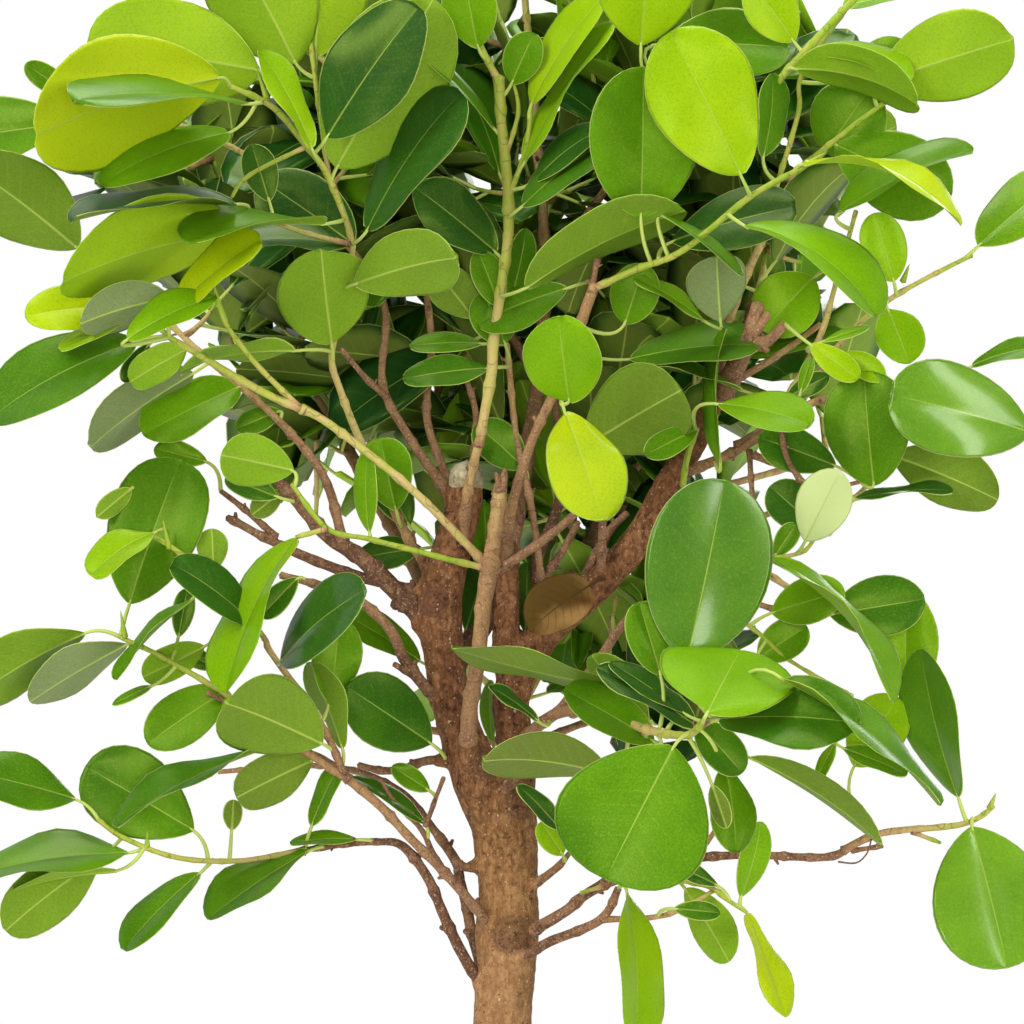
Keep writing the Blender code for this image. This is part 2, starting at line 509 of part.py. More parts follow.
# ---------------------------------------------------------------- build
for old in list(bpy.data.objects):
    bpy.data.objects.remove(old)
plant = bpy.data.collections.new("potted_ficus")
bpy.context.scene.collection.children.link(plant)

make_pot()
make_soil()
make_wood()
for leaf_name, leaf_row in LEAVES.items():
    make_leaf(leaf_name, *leaf_row)
for obj in plant.objects:
    obj.data.shade_smooth()
    obj.data.set_sharp_from_angle(angle=math.radians(35))
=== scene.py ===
"""The looks of a round-leaved ficus grown as a small standard in a plain fired pot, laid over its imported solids.

Places on the plant are given as a front elevation in centimetres: offset from the trunk, height above the pot's
underside, and forward, the distance in front of the upright plane through the trunk. Offset and height are read
where the sight line from EYE meets that plane. Everything else is in metres.
"""
import math
import random

import bmesh
import bpy
import numpy as np
from mathutils import Matrix, Vector, noise


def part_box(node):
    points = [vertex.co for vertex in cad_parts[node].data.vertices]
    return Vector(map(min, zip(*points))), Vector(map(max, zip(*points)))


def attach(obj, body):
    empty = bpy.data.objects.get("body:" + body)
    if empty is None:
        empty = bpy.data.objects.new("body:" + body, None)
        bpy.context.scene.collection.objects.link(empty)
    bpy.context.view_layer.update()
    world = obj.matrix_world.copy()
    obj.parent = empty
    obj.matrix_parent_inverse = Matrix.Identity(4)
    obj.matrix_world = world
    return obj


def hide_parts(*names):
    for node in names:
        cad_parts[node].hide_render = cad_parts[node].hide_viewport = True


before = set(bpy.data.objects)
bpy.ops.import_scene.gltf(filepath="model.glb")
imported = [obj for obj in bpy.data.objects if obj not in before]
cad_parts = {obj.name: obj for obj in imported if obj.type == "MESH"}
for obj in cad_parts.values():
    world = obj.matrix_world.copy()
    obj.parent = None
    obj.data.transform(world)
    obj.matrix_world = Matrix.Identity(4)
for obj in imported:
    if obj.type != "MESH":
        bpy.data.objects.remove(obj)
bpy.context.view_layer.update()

# ---------------------------------------------------------------- sizes and places
CM = 0.01
EYE = Vector((0.00315, -2.2, 0.6404))
TOWARDS_EYE = Vector((0.0, -1.0, 0.0))
UP = Vector((0.0, 0.0, 1.0))
VIEW_WIDTH = 0.4608
BODY = "root"
NODES = set(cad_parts)

LEAF_THICKNESS = 0.0006
STALK_RADIUS = 0.00085
MOST_SEEN = 0.98  # the largest share of a blade's width that EYE may see
GOLDEN_TURN = math.radians(137.5)
CROWN_CENTRE = Vector((0.0, 0.02, 0.70))
CROWN_RADII = (0.25, 0.185, 0.24)
CROWN_TOP = 0.935

# Rows of faces along a blade, and the places across it where its faces meet, from rim to rim
NODE_ROWS, DRIED_ROWS, GROUP_ROWS, SPRAY_ROWS = 17, 15, 14, 9
FINE_ACROSS = (-1.0, -0.93, -0.72, -0.42, -0.16, -0.04, 0.0, 0.04, 0.16, 0.42, 0.72, 0.93, 1.0)
COARSE_ACROSS = (-1.0, -0.55, 0.0, 0.55, 1.0)
NARROW = 0.014  # a leaf seen narrower than this is a narrow one
DULL_MOST, GLOSSY_CHANCE = 0.8, 0.98  # the largest chance value of a dull leaf, and that of a glossy one
TRUNK_VOXEL = 0.0014
STEM_SPACING = 0.0022
SPRAY_SPACING = 0.006


def placed(offset, height, forward=0.0):
    """The place forward cm in front of the trunk's plane, on EYE's sight line through offset and height."""
    on_plane = Vector((offset * CM, 0.0, height * CM))
    return on_plane.lerp(EYE, forward * CM / -EYE.y)


def read_back(place):
    """The offset, height and forward distance, in cm, of a place in metres."""
    share = -place.y / -EYE.y
    on_plane = (place - EYE * share) / (1.0 - share)
    return on_plane.x / CM, on_plane.z / CM, -place.y / CM


# ---------------------------------------------------------------- wood: (offset, height, forward, radius) in cm
TRUNK_RUNS = [
    [(0, 12, 0, 2.2), (0.05, 16.5, 0, 2.2), (-0.1, 18.6, 0, 1.85), (-0.2, 21.5, 0, 1.55), (-0.25, 27, 0, 1.43),
     (-0.1, 33, 0, 1.38), (-0.15, 38, 0, 1.35), (-0.12, 41, 0, 1.33), (0.05, 43.5, 0, 1.33), (0.1, 45, 0, 1.44),
     (0.15, 47, 0, 1.36), (-0.05, 50, 0, 1.5), (-0.3, 51.8, 0, 1.4)],
    [(-0.1, 49.5, 0, 1.2), (-1.1, 51.8, 0.1, 1.2), (-1.95, 54, 0.1, 0.98), (-2.5, 56, 0.1, 0.88),
     (-2.8, 58, 0.1, 0.95), (-3, 60, 0.1, 1.08), (-2.5, 62, 0.1, 0.88), (-1.95, 64, 0.1, 0.84),
     (-1.75, 65.2, 0.1, 0.8)],
    [(0, 49.5, -0.1, 0.9), (0.6, 51.8, -0.3, 0.8), (0.4, 54, -0.6, 0.85), (0.35, 56, -0.9, 0.85),
     (1.8, 58.6, -1.1, 0.8), (4, 60.6, -1, 0.75), (6, 62.8, -0.8, 0.68), (7.3, 65.3, -0.5, 0.6),
     (8.6, 67.2, -0.3, 0.55), (9.6, 69.5, 0, 0.48), (10.6, 71, 0.2, 0.42), (11.2, 73.5, 0.3, 0.3)],
    [(0.35, 56, -0.9, 0.7), (0.05, 58, -0.9, 0.65), (0.1, 60, -0.8, 0.58), (0.1, 62.5, -0.6, 0.45)],
]
ROOT_COUNT = 5
ROOT_STEPS = [(0.011, 0.194, 0.006), (0.022, 0.176, 0.0072), (0.035, 0.166, 0.0055), (0.048, 0.154, 0.0035)]

# Each stem: the CAD node it stands for, then its runs. A run starts with its age at both ends (0 green, 1 old bark).
STEMS = {
    "stem_left_low": [
        (0.9, 0.6, [(-0.5, 45.2, 1.05, 0.25), (-1.9, 46.9, 1.75, 0.22), (-3, 48.1, 2.2, 0.2), (-4.3, 49.4, 2.6, 0.2),
         (-5.3, 50.5, 2.8, 0.2), (-6.3, 51.4, 3, 0.2), (-7.2, 52.1, 3.2, 0.2), (-9, 53.3, 3.4, 0.17),
         (-10.4, 54.3, 3.6, 0.16)]),
        (0.35, 0.1, [(-10.2, 54.2, 3.55, 0.15), (-12.2, 55.6, 3.8, 0.14), (-15.2, 57.4, 4.2, 0.12),
         (-17.3, 58.4, 4.5, 0.1)]),
        (0.3, 0.1, [(-14.3, 61.9, 4.2, 0.1), (-15.6, 63.6, 1.6, 0.09), (-16.9, 64.9, 1.9, 0.08)]),
        (0.8, 0.1, [(-7.2, 52.1, 3.2, 0.18), (-8, 54, 3.9, 0.16), (-9.3, 56, 4.2, 0.15), (-10.6, 57.8, 4.4, 0.14),
         (-11.1, 58.7, 4.4, 0.13), (-14.3, 61.9, 4.2, 0.12), (-15.9, 63, 4.2, 0.1)]),
        (0.8, 0.8, [(-7, 52, 3.2, 0.2), (-8.2, 52.9, 3, 0.19), (-9.1, 53.3, 2.8, 0.16)]),
        (0.7, 0.7, [(-12.6, 55.5, 3.8, 0.12), (-13.4, 55.9, 4.3, 0.1)]),
    ],
    "stem_left_long": [
        (1.1, 0.9, [(-0.9, 42.4, 0.2, 0.26), (-2.1, 44.5, 0.7, 0.25), (-2.8, 46, 0.9, 0.23), (-3.5, 47.6, 1, 0.22),
         (-4.6, 49, 1.1, 0.2), (-5.8, 49.2, 1.3, 0.16), (-7.5, 49.05, 1.6, 0.14), (-9.2, 48.8, 1.95, 0.13)]),
        (0.4, 0.1, [(-9, 48.85, 1.9, 0.13), (-11.9, 48.35, 2.4, 0.12), (-14.8, 48.5, 3, 0.12),
         (-17.2, 49.4, 3.4, 0.12), (-18.3, 50.2, 3.6, 0.1)]),
    ],
    "stem_left_rear": [
        (1, 0.7, [(-0.7, 42.6, -0.2, 0.26), (-1.42, 44.8, -0.3, 0.25), (-1.7, 46.2, -0.5, 0.24),
         (-2.05, 47.6, -0.7, 0.22), (-2.2, 48.3, -0.8, 0.25), (-3.1, 49.6, -1.2, 0.2), (-4.9, 51.6, -2.2, 0.16),
         (-8, 52.6, -4.5, 0.14), (-12.9, 52.35, -6.5, 0.11)]),
    ],
    "stem_left_spur": [
        (0.9, 0.9, [(-1.6, 52.9, 0.2, 0.22), (-3.5, 52.85, 0.3, 0.2), (-4.5, 52.5, 0.5, 0.19),
         (-5.5, 52.4, 0.6, 0.18), (-6.6, 52.65, 0.6, 0.15)]),
    ],
    "limb_left": [
        (1, 0.9, [(-3.1, 58.6, 0.1, 0.5), (-5, 60.6, 0.5, 0.42), (-6.5, 62, 0.8, 0.38), (-8, 63, 1.1, 0.33),
         (-9.6, 64.8, 1.4, 0.28), (-10.2, 65.4, 1.5, 0.25)]),
        (0.9, 0.3, [(-7.3, 62.7, 1, 0.24), (-8, 65.3, 0.7, 0.2), (-9.2, 67.1, 0.4, 0.18), (-11, 68.9, 0.2, 0.16),
         (-13.7, 71.2, 0, 0.14), (-16.6, 74, 0.2, 0.12), (-18.4, 75.6, 0.5, 0.1)]),
        (1, 0.9, [(-3.6, 60.3, 0.1, 0.3), (-5.2, 60.8, 0.4, 0.27), (-6.8, 61.2, 0.5, 0.25), (-9.6, 62.3, 0.7, 0.22),
         (-12.5, 63.8, 1, 0.16)]),
        (0.9, 0.9, [(-10.3, 62.9, 0.8, 0.16), (-11.4, 63.9, 1, 0.14), (-12.8, 65, 1.2, 0.11)]),
    ],
    "stem_left_inner": [
        (0.9, 0.8, [(-2.6, 55, 0.3, 0.28), (-4.4, 57.2, 1, 0.25), (-5.2, 58.8, 1.5, 0.23), (-6.6, 60.1, 1.9, 0.2),
         (-7.8, 60.6, 2.1, 0.18), (-10.1, 61.2, 2.4, 0.15)]),
        (0.9, 0.9, [(-4, 56.6, 0.9, 0.16), (-5, 57.2, 1.3, 0.12)]),
    ],
    "shoot_front": [
        (0.78, 0.55, [(-1.65, 52.9, 0.9, 0.42), (-1.6, 55, 1.65, 0.36), (-1.2, 57.5, 2.1, 0.34),
         (-0.95, 60, 2.3, 0.36), (-0.72, 61.3, 2.4, 0.41), (-0.6, 62, 2.45, 0.36), (-0.4, 63.5, 2.5, 0.32),
         (-0.25, 64.6, 2.6, 0.33), (-0.2, 65.3, 2.6, 0.28)]),
        (0.4, 0.3, [(-0.8, 61.6, 2.4, 0.2), (-2.5, 63.4, 2.9, 0.18), (-4.7, 65.5, 3.6, 0.18), (-7.9, 68, 4.4, 0.18),
         (-9.2, 68.7, 4.7, 0.2)]),
        (0.3, 0.1, [(-9, 68.6, 4.65, 0.18), (-11.2, 69.6, 5.2, 0.17), (-15.1, 71.9, 6, 0.13)]),
        (0.1, 0.05, [(-0.8, 61.5, 2.4, 0.17), (-2.5, 61.9, 2.9, 0.13), (-6, 62.8, 3.6, 0.12), (-8, 63.3, 4.2, 0.12),
         (-9.6, 65.3, 4.6, 0.1)]),
        (0.3, 0.05, [(-9.2, 68.7, 4.7, 0.14), (-11.2, 70.7, 5.4, 0.12), (-12.5, 72.4, 6, 0.11),
         (-12.9, 73.4, 6.3, 0.08)]),
        (0.2, 0.1, [(-8, 63.3, 4.2, 0.11), (-9.4, 62.9, 4.4, 0.1)]),
        (0.8, 0.8, [(-0.5, 61.3, 2.4, 0.24), (1.2, 62.4, 2, 0.2), (2.4, 63.3, 1.8, 0.19), (3.2, 64, 1.6, 0.15)]),
    ],
    "shoot_centre": [
        (0.95, 0.42, [(-2.05, 62, 0.3, 0.34), (-1.85, 63.6, 0.75, 0.3), (-1.65, 65, 1.1, 0.24),
         (-1.4, 66.2, 1.3, 0.2), (-1.15, 67.2, 1.45, 0.2)]),
        (0.36, 0.14, [(-1.2, 67, 1.4, 0.2), (-1, 68, 1.6, 0.22), (-0.6, 70.4, 1.75, 0.25), (-0.5, 71.9, 1.8, 0.24),
         (0.1, 76, 2, 0.24), (0.15, 78, 2.05, 0.27), (0, 80, 2.1, 0.24), (-0.2, 82, 2.15, 0.24),
         (-0.28, 83.6, 2.2, 0.26)]),
        (0.1, 0, [(-0.25, 83.4, 2.2, 0.15), (-0.9, 84.6, 2.2, 0.15), (-1.4, 86, 2.2, 0.14), (-2, 90, 2.2, 0.12)]),
        (0.1, 0.05, [(0.05, 78, 2.05, 0.14), (0.9, 80.2, 2.6, 0.12), (1.2, 82.4, 2.9, 0.1)]),
    ],
    "shoot_left": [
        (0.9, 0.5, [(-3, 60.9, 0.1, 0.26), (-4.2, 62.6, -0.1, 0.22), (-5.4, 65, 0.1, 0.2)]),
        (0.5, 0.1, [(-5.2, 64.6, 0.1, 0.2), (-5.5, 65.2, 0.1, 0.2), (-6.5, 67.2, 0.5, 0.18), (-7.4, 69.5, 1, 0.16),
         (-7.8, 71.1, 1.3, 0.14), (-7.2, 73.6, 1.9, 0.14), (-6.9, 76.1, 2.6, 0.15), (-7.9, 79, 3.8, 0.15),
         (-9, 80.6, 4.6, 0.14), (-10.5, 82.3, 5.4, 0.14), (-12.4, 83.2, 6, 0.11)]),
        (0.2, 0.05, [(-7.9, 79, 3.8, 0.12), (-8.6, 84, 3.4, 0.12), (-9, 88, 2.8, 0.1)]),
    ],
    "shoot_left_upper": [
        (0.9, 0.3, [(-2.2, 64.4, 0.1, 0.26), (-3.5, 66.2, 0.2, 0.23), (-4.3, 67.4, 0, 0.2), (-5.5, 69.8, -0.6, 0.17),
         (-5.5, 73.6, -1.5, 0.15), (-8, 77, -2, 0.14), (-12, 80.3, -2, 0.13), (-16.5, 81.9, -1.2, 0.11),
         (-19.2, 81.8, -0.6, 0.1)]),
        (0.9, 0.9, [(-5.3, 69.2, -0.4, 0.15), (-6.2, 70, 0.2, 0.13), (-7.4, 71.4, 0.6, 0.1)]),
    ],
    "shoot_right": [
        (0.85, 0.6, [(0.1, 61.5, -0.6, 0.28), (0.25, 64, 1.2, 0.24), (1.2, 67.2, 2.4, 0.2), (2.1, 69.2, 3, 0.21),
         (3.2, 72, 3.3, 0.24), (3.9, 73.9, 3.4, 0.25), (4, 74.3, 3.4, 0.2)]),
        (1, 0.9, [(3.9, 73.9, 3.4, 0.2), (4, 74.6, 3.4, 0.13), (4.15, 75.4, 3.4, 0.13)]),
        (0.2, 0.05, [(4, 74.1, 3.4, 0.15), (6, 75, 4.4, 0.15), (8, 75.8, 5.2, 0.14), (11, 78.2, 6.2, 0.14),
         (13.5, 79.6, 7, 0.12)]),
    ],
    "stem_right_mid": [
        (0.85, 0.1, [(7.6, 65.6, -0.4, 0.26), (10.6, 66.9, 1.4, 0.2), (13.5, 68.8, 2.6, 0.18), (15.1, 69, 3.2, 0.16),
         (18.3, 67.9, 4.4, 0.14), (21.5, 67.4, 5.2, 0.12), (24, 67.6, 5.8, 0.1)]),
        (0.7, 0.1, [(12.9, 68.3, 2.4, 0.16), (15, 71.5, 2, 0.14), (17.3, 73.6, 2.4, 0.12), (21, 75.6, 2.8, 0.1)]),
        (0.8, 0.8, [(11.2, 66.6, 1.6, 0.16), (12.7, 66, 2.2, 0.12)]),
    ],
    "stem_right_upper": [
        (0.75, 0.4, [(9.4, 69, 0, 0.28), (10.2, 73, 1.6, 0.2), (11.6, 76.3, 2.2, 0.17)]),
        (0.3, 0.05, [(11.5, 76, 2.1, 0.16), (12.2, 78.6, 2.1, 0.12), (13.2, 82, 1.8, 0.11), (13.4, 83.8, 1.6, 0.1),
         (15.6, 87, 1, 0.1)]),
        (0.1, 0.05, [(12.6, 79, 2, 0.13), (17, 82.4, 2.6, 0.11), (18.4, 82.9, 2.9, 0.1)]),
        (0.2, 0.05, [(6, 79.9, -5.5, 0.15), (8.6, 80.6, -1, 0.15), (11.3, 82.4, 2.6, 0.15), (12.8, 84, 3, 0.17),
         (13.8, 85.1, 3, 0.18), (15.6, 87, 2.9, 0.15), (17.2, 88.5, 2.7, 0.1)]),
    ],
    "stem_right_low": [
        (0.95, 0.85, [(0.7, 44.95, 1, 0.27), (1.4, 45.3, 1.3, 0.27), (2.6, 46, 1.5, 0.25), (4.5, 47.3, 1.7, 0.23),
         (8.4, 48.4, 2.6, 0.2), (11, 48.6, 3.2, 0.18), (14.4, 48.5, 3.8, 0.17), (15.4, 48.9, 4, 0.17)]),
        (0.7, 0.1, [(15.2, 48.8, 4, 0.17), (17, 49.6, 4.4, 0.16), (20.6, 50, 5, 0.13), (22, 50.8, 5.2, 0.1)]),
        (0.9, 0.9, [(15.6, 48.8, 4, 0.11), (17, 49, 4.3, 0.09)]),
        (0.3, 0.1, [(18.3, 49.65, 4.6, 0.1), (19.6, 49.15, 4.9, 0.08)]),
    ],
    "stem_right_fork": [
        (1, 0.85, [(0.6, 44.05, 1.05, 0.25), (1.2, 44.25, 1.45, 0.24), (2, 44.7, 1.9, 0.22), (4.3, 45.7, 3, 0.2),
         (5.1, 47.1, 3.6, 0.17)]),
        (0.8, 0.2, [(4.3, 45.7, 3, 0.15), (7.2, 45.9, 4, 0.12), (9.4, 47, 4.4, 0.1)]),
        (0.3, 0.1, [(7, 47.6, 4, 0.11), (9.1, 47.2, 4.3, 0.11), (10, 46.6, 4.5, 0.1), (10.9, 46, 4.7, 0.08)]),
    ],
    "stem_right_inner": [
        (0.9, 0.1, [(0.4, 53.4, -0.2, 0.3), (2.4, 55, 1.9, 0.27), (4.6, 54.8, 5.5, 0.23), (6.6, 54.2, 9, 0.2),
         (8.2, 54, 12, 0.17), (8.9, 54.6, 14, 0.13)]),
        (0.9, 0.7, [(2.4, 55, 1.9, 0.22), (4.2, 57.4, 2.6, 0.2), (6, 59.6, 3, 0.18), (9, 60.4, 4, 0.15),
         (13, 59.4, 5, 0.12)]),
    ],
    "bough_rear_left": [
        (1, 0.2, [(-2.9, 58.8, 0, 0.42), (-4, 61.5, -4, 0.38), (-6, 65, -8, 0.32), (-8.5, 69.5, -12, 0.26),
         (-10.5, 74, -15, 0.2), (-12, 79, -17, 0.15)]),
        (1, 0.2, [(-6, 65, -8, 0.25), (-3.5, 68, -12, 0.2), (-2.5, 73, -15.5, 0.15), (-3, 78, -17.5, 0.12)]),
    ],
    "bough_rear_right": [
        (1, 0.2, [(1.8, 58.5, -1.2, 0.4), (2.8, 60.5, -4.5, 0.36), (4.5, 64, -8.5, 0.3), (7.5, 68.5, -12, 0.25),
         (10.5, 73, -14.5, 0.2), (13.5, 78, -16, 0.15)]),
        (0.9, 0.3, [(4.5, 64, -8.5, 0.22), (9, 65, -11.5, 0.18), (14.5, 66.5, -13.5, 0.14)]),
    ],
    "bough_rear_low": [
        (1, 0.3, [(0, 50, -0.9, 0.36), (0.4, 51.5, -3, 0.32), (0.8, 53.5, -7, 0.28), (0.5, 55, -11, 0.2),
         (-1.5, 57, -16, 0.15)]),
        (0.9, 0.3, [(0.8, 53.5, -7, 0.2), (5, 55, -11, 0.17), (8.5, 55.5, -14.5, 0.13)]),
        (0.9, 0.3, [(0.8, 53.5, -7, 0.2), (-5, 54.5, -10, 0.17), (-9, 55, -13, 0.13)]),
    ],
    "bough_top": [
        (1, 0.2, [(0.1, 61.8, -0.7, 0.4), (0.7, 65, -2.5, 0.38), (1.5, 70, -4, 0.33), (1.8, 75, -5, 0.28),
         (1.5, 80, -5.5, 0.22), (1, 86, -5, 0.17), (0.5, 91, -4.5, 0.12)]),
        (0.9, 0.2, [(1.5, 70, -4, 0.24), (-1.5, 75, -7, 0.2), (-4.5, 81, -8.5, 0.16), (-7, 87, -8, 0.12)]),
        (0.9, 0.2, [(1.8, 75, -5, 0.22), (5.5, 80, -7.5, 0.17), (8.5, 86, -8, 0.13)]),
    ],
    # finer twigs that the solids leave out
    "twigs": [
        (0.9, 0.9, [(-3.6, 49.9, 2.3, 0.13), (-3.36, 50.5, 2, 0.11), (-3.1, 51.2, 1.6, 0.1),
         (-2.75, 52.1, 1.3, 0.09)]),
        (0.9, 0.8, [(-2.4, 47.4, 1, 0.16), (-3.2, 48.6, 1.2, 0.14), (-3.8, 49.8, 1.5, 0.12), (-4.9, 50.9, 1.9, 0.1),
         (-5.6, 52, 2.2, 0.08)]),
        (1, 0.9, [(-0.6, 51, 0.9, 0.28), (-0.2, 51.4, 1.3, 0.26), (0.6, 52.2, 1.7, 0.2)]),
        (0.9, 0.9, [(-0.8, 48.2, 0.2, 0.26), (-1.6, 48.05, 0.7, 0.2), (-2.05, 48.15, 0.9, 0.2),
         (-2.35, 48.4, 1, 0.16)]),
        (0.9, 0.9, [(0.9, 47, 0.7, 0.22), (2.3, 48, 1.1, 0.17), (2.9, 48.7, 1.2, 0.12)]),
        (0.9, 0.75, [(9.7, 69.2, 0.6, 0.5), (10.4, 70.6, 1.8, 0.46), (11, 71.9, 2.4, 0.36), (11.4, 73.4, 2.8, 0.3)]),
        (0.9, 0.75, [(11, 71.5, 2.3, 0.3), (11.9, 71.8, 2.9, 0.25), (12.6, 72.5, 3.2, 0.2)]),
        (0.9, 0.75, [(11, 71.8, 2.5, 0.26), (11.6, 72.6, 2.9, 0.2), (11.8, 73, 3, 0.17)]),
        (1, 1, [(-2.2, 57.4, -0.5, 0.45), (-1.3, 58.5, -1.3, 0.45), (-0.4, 59.7, -1.8, 0.42), (0.2, 61.2, -2, 0.35)]),
        (1, 1, [(15, 48.3, 4.1, 0.035), (15.8, 48.25, 4.4, 0.035), (16.3, 48.7, 4.5, 0.035),
         (16.5, 49.4, 4.5, 0.03)]),
        (0.8, 0.8, [(-0.22, 65, 2.7, 0.2), (-0.3, 65.5, 2.9, 0.14), (-0.42, 65.8, 3, 0.08)]),
        (0.7, 0.7, [(-0.15, 65, 2.7, 0.2), (-0.05, 65.6, 2.8, 0.16), (0, 66, 2.8, 0.07)]),
        (0.1, 0.1, [(8, 65.2, 0.6, 0.14), (8.2, 66.5, 1.3, 0.14), (8.6, 67.7, 1.9, 0.13)]),
        (0.7, 0.2, [(10.4, 67, 1.3, 0.2), (11.6, 67.8, 1.5, 0.18), (12.9, 69.5, 1.7, 0.17), (14.2, 72, 1.9, 0.15),
         (14.8, 74, 2, 0.12), (15.8, 77.6, 2, 0.1)]),
        (0.7, 0.6, [(9.9, 69.7, 0.1, 0.18), (11.5, 70.6, 0.6, 0.16), (13, 71.6, 1, 0.14), (14.2, 72.5, 1.3, 0.12)]),
        (0.9, 0.6, [(1.4, 59, -0.4, 0.2), (1.6, 61, 0.3, 0.17), (1.2, 64.2, 0.5, 0.16), (0.5, 67.5, 0.4, 0.15),
         (0.1, 71.6, 0.2, 0.12)]),
        (1, 0.9, [(1.6, 58.7, -0.8, 0.22), (1.8, 61, -0.2, 0.19), (2.6, 62.3, 0.1, 0.17), (3.3, 63.6, 0.4, 0.13)]),
        (1, 0.9, [(4.3, 60.9, -0.6, 0.24), (4.35, 62.3, 0.1, 0.2), (4.4, 63.7, 0.4, 0.17)]),
        (1, 0.9, [(2.1, 58.9, -1.2, 0.3), (1.4, 61.5, -2, 0.26), (2.5, 65, -2.6, 0.22), (2.2, 69.5, -3, 0.16)]),
        (0.9, 0.8, [(3, 60, -0.7, 0.22), (4.5, 62.9, -1.4, 0.2), (5.5, 64, -1.6, 0.15)]),
        (0.9, 0.5, [(-2.3, 64.9, -0.4, 0.2), (-3.5, 68.2, -1.6, 0.18), (-3.3, 71.6, -2.2, 0.17),
         (-3.7, 75, -2.6, 0.13)]),
        (0.9, 0.7, [(-1.7, 64.6, -0.3, 0.18), (-1.3, 68.2, -0.6, 0.15), (-1.9, 70.4, -0.6, 0.12)]),
        (0.9, 0.8, [(11, 66.8, 1.5, 0.12), (11.2, 64, 3, 0.12), (11.6, 61.9, 4.6, 0.12), (11, 60.4, 4.4, 0.12)]),
        (0.3, 0.1, [(11.6, 61.9, 4.6, 0.11), (13.3, 62.2, 5.2, 0.1), (13.9, 62.8, 5.6, 0.08)]),
        (0.1, 0.1, [(9, 60.4, 4, 0.11), (11.4, 58.6, 4.8, 0.1), (12.9, 57.3, 5.2, 0.09), (15.6, 55.8, 6, 0.07)]),
        (0.2, 0.1, [(-8.9, 80.5, 4.5, 0.1), (-11.5, 79.2, 5.2, 0.1), (-12.3, 78.2, 5.6, 0.08)]),
        (0.5, 0.1, [(-7, 76.1, 2.7, 0.12), (-9, 76.6, 3.8, 0.11), (-11.6, 77.5, 4.6, 0.1)]),
        (0.2, 0.05, [(0.05, 80.1, 2.1, 0.1), (0.6, 82, 2.3, 0.1), (0.4, 83.3, 2.4, 0.08)]),
        (0.1, 0.05, [(3, 71.4, 3.2, 0.09), (2.6, 70.2, 3.7, 0.09), (2.5, 68.9, 4.2, 0.08)]),
        (0.3, 0.1, [(8.9, 54.5, 13.2, 0.13), (9.5, 54.7, 11, 0.12), (10.4, 54.8, 9, 0.12), (11.2, 54.8, 7.4, 0.1)]),
        (0.8, 0.3, [(8.4, 48.4, 2.6, 0.12), (9.6, 50, 4, 0.11), (10, 52.4, 6.4, 0.1), (9.6, 53, 8.6, 0.1)]),
        (0.1, 0.1, [(4.4, 47.2, 1.8, 0.1), (3.4, 46.9, 2.4, 0.08)]),
        (0.9, 0.7, [(12.4, 68, 2.3, 0.14), (12.8, 66.2, 3.4, 0.12), (14, 65.1, 4, 0.11), (16, 65.4, 4.2, 0.09)]),
        (0.8, 0.2, [(9.6, 62.5, -2, 0.16), (12, 64, -1, 0.14), (14.5, 63.8, 0.8, 0.12), (17.5, 66.4, 2.4, 0.1)]),
        (0.8, 0.2, [(6, 62.8, -1, 0.2), (9.6, 62.5, -2, 0.16), (13, 60.5, -1, 0.14), (16.5, 58.4, 1.8, 0.11)]),
    ],
}

# Slender terminal buds: base (offset, height, forward), tip (offset, height, forward)
BUDS = [
    ((-10.7, 82.6, 5.6), (-11.2, 84.1, 5.9)), ((-15.1, 62.4, 4.2), (-15.4, 63.7, 4.3)),
    ((-17.1, 58.4, 4.5), (-17.3, 59.6, 4.6)), ((21.8, 50.7, 5.2), (22.1, 51.4, 5.3)),
    ((-12.9, 73.3, 6.3), (-13.1, 74.3, 6.5)), ((17.9, 74.4, 2.4), (18.2, 75.2, 2.5)),
    ((-16.1, 48.9, 3.2), (-16.1, 49.7, 3.3)), ((13.4, 79.6, 7.0), (14.4, 80.2, 7.3)),
]

# Burls and branch scars that darken the bark: place in metres and size
KNOTS = [
    (placed(0.35, 45.0, 1.3), 0.0085), (placed(0.7, 50.9, 1.2), 0.0075), (placed(-1.0, 52.8, 1.0), 0.008),
    (placed(-3.2, 60.0, 1.0), 0.007),
]

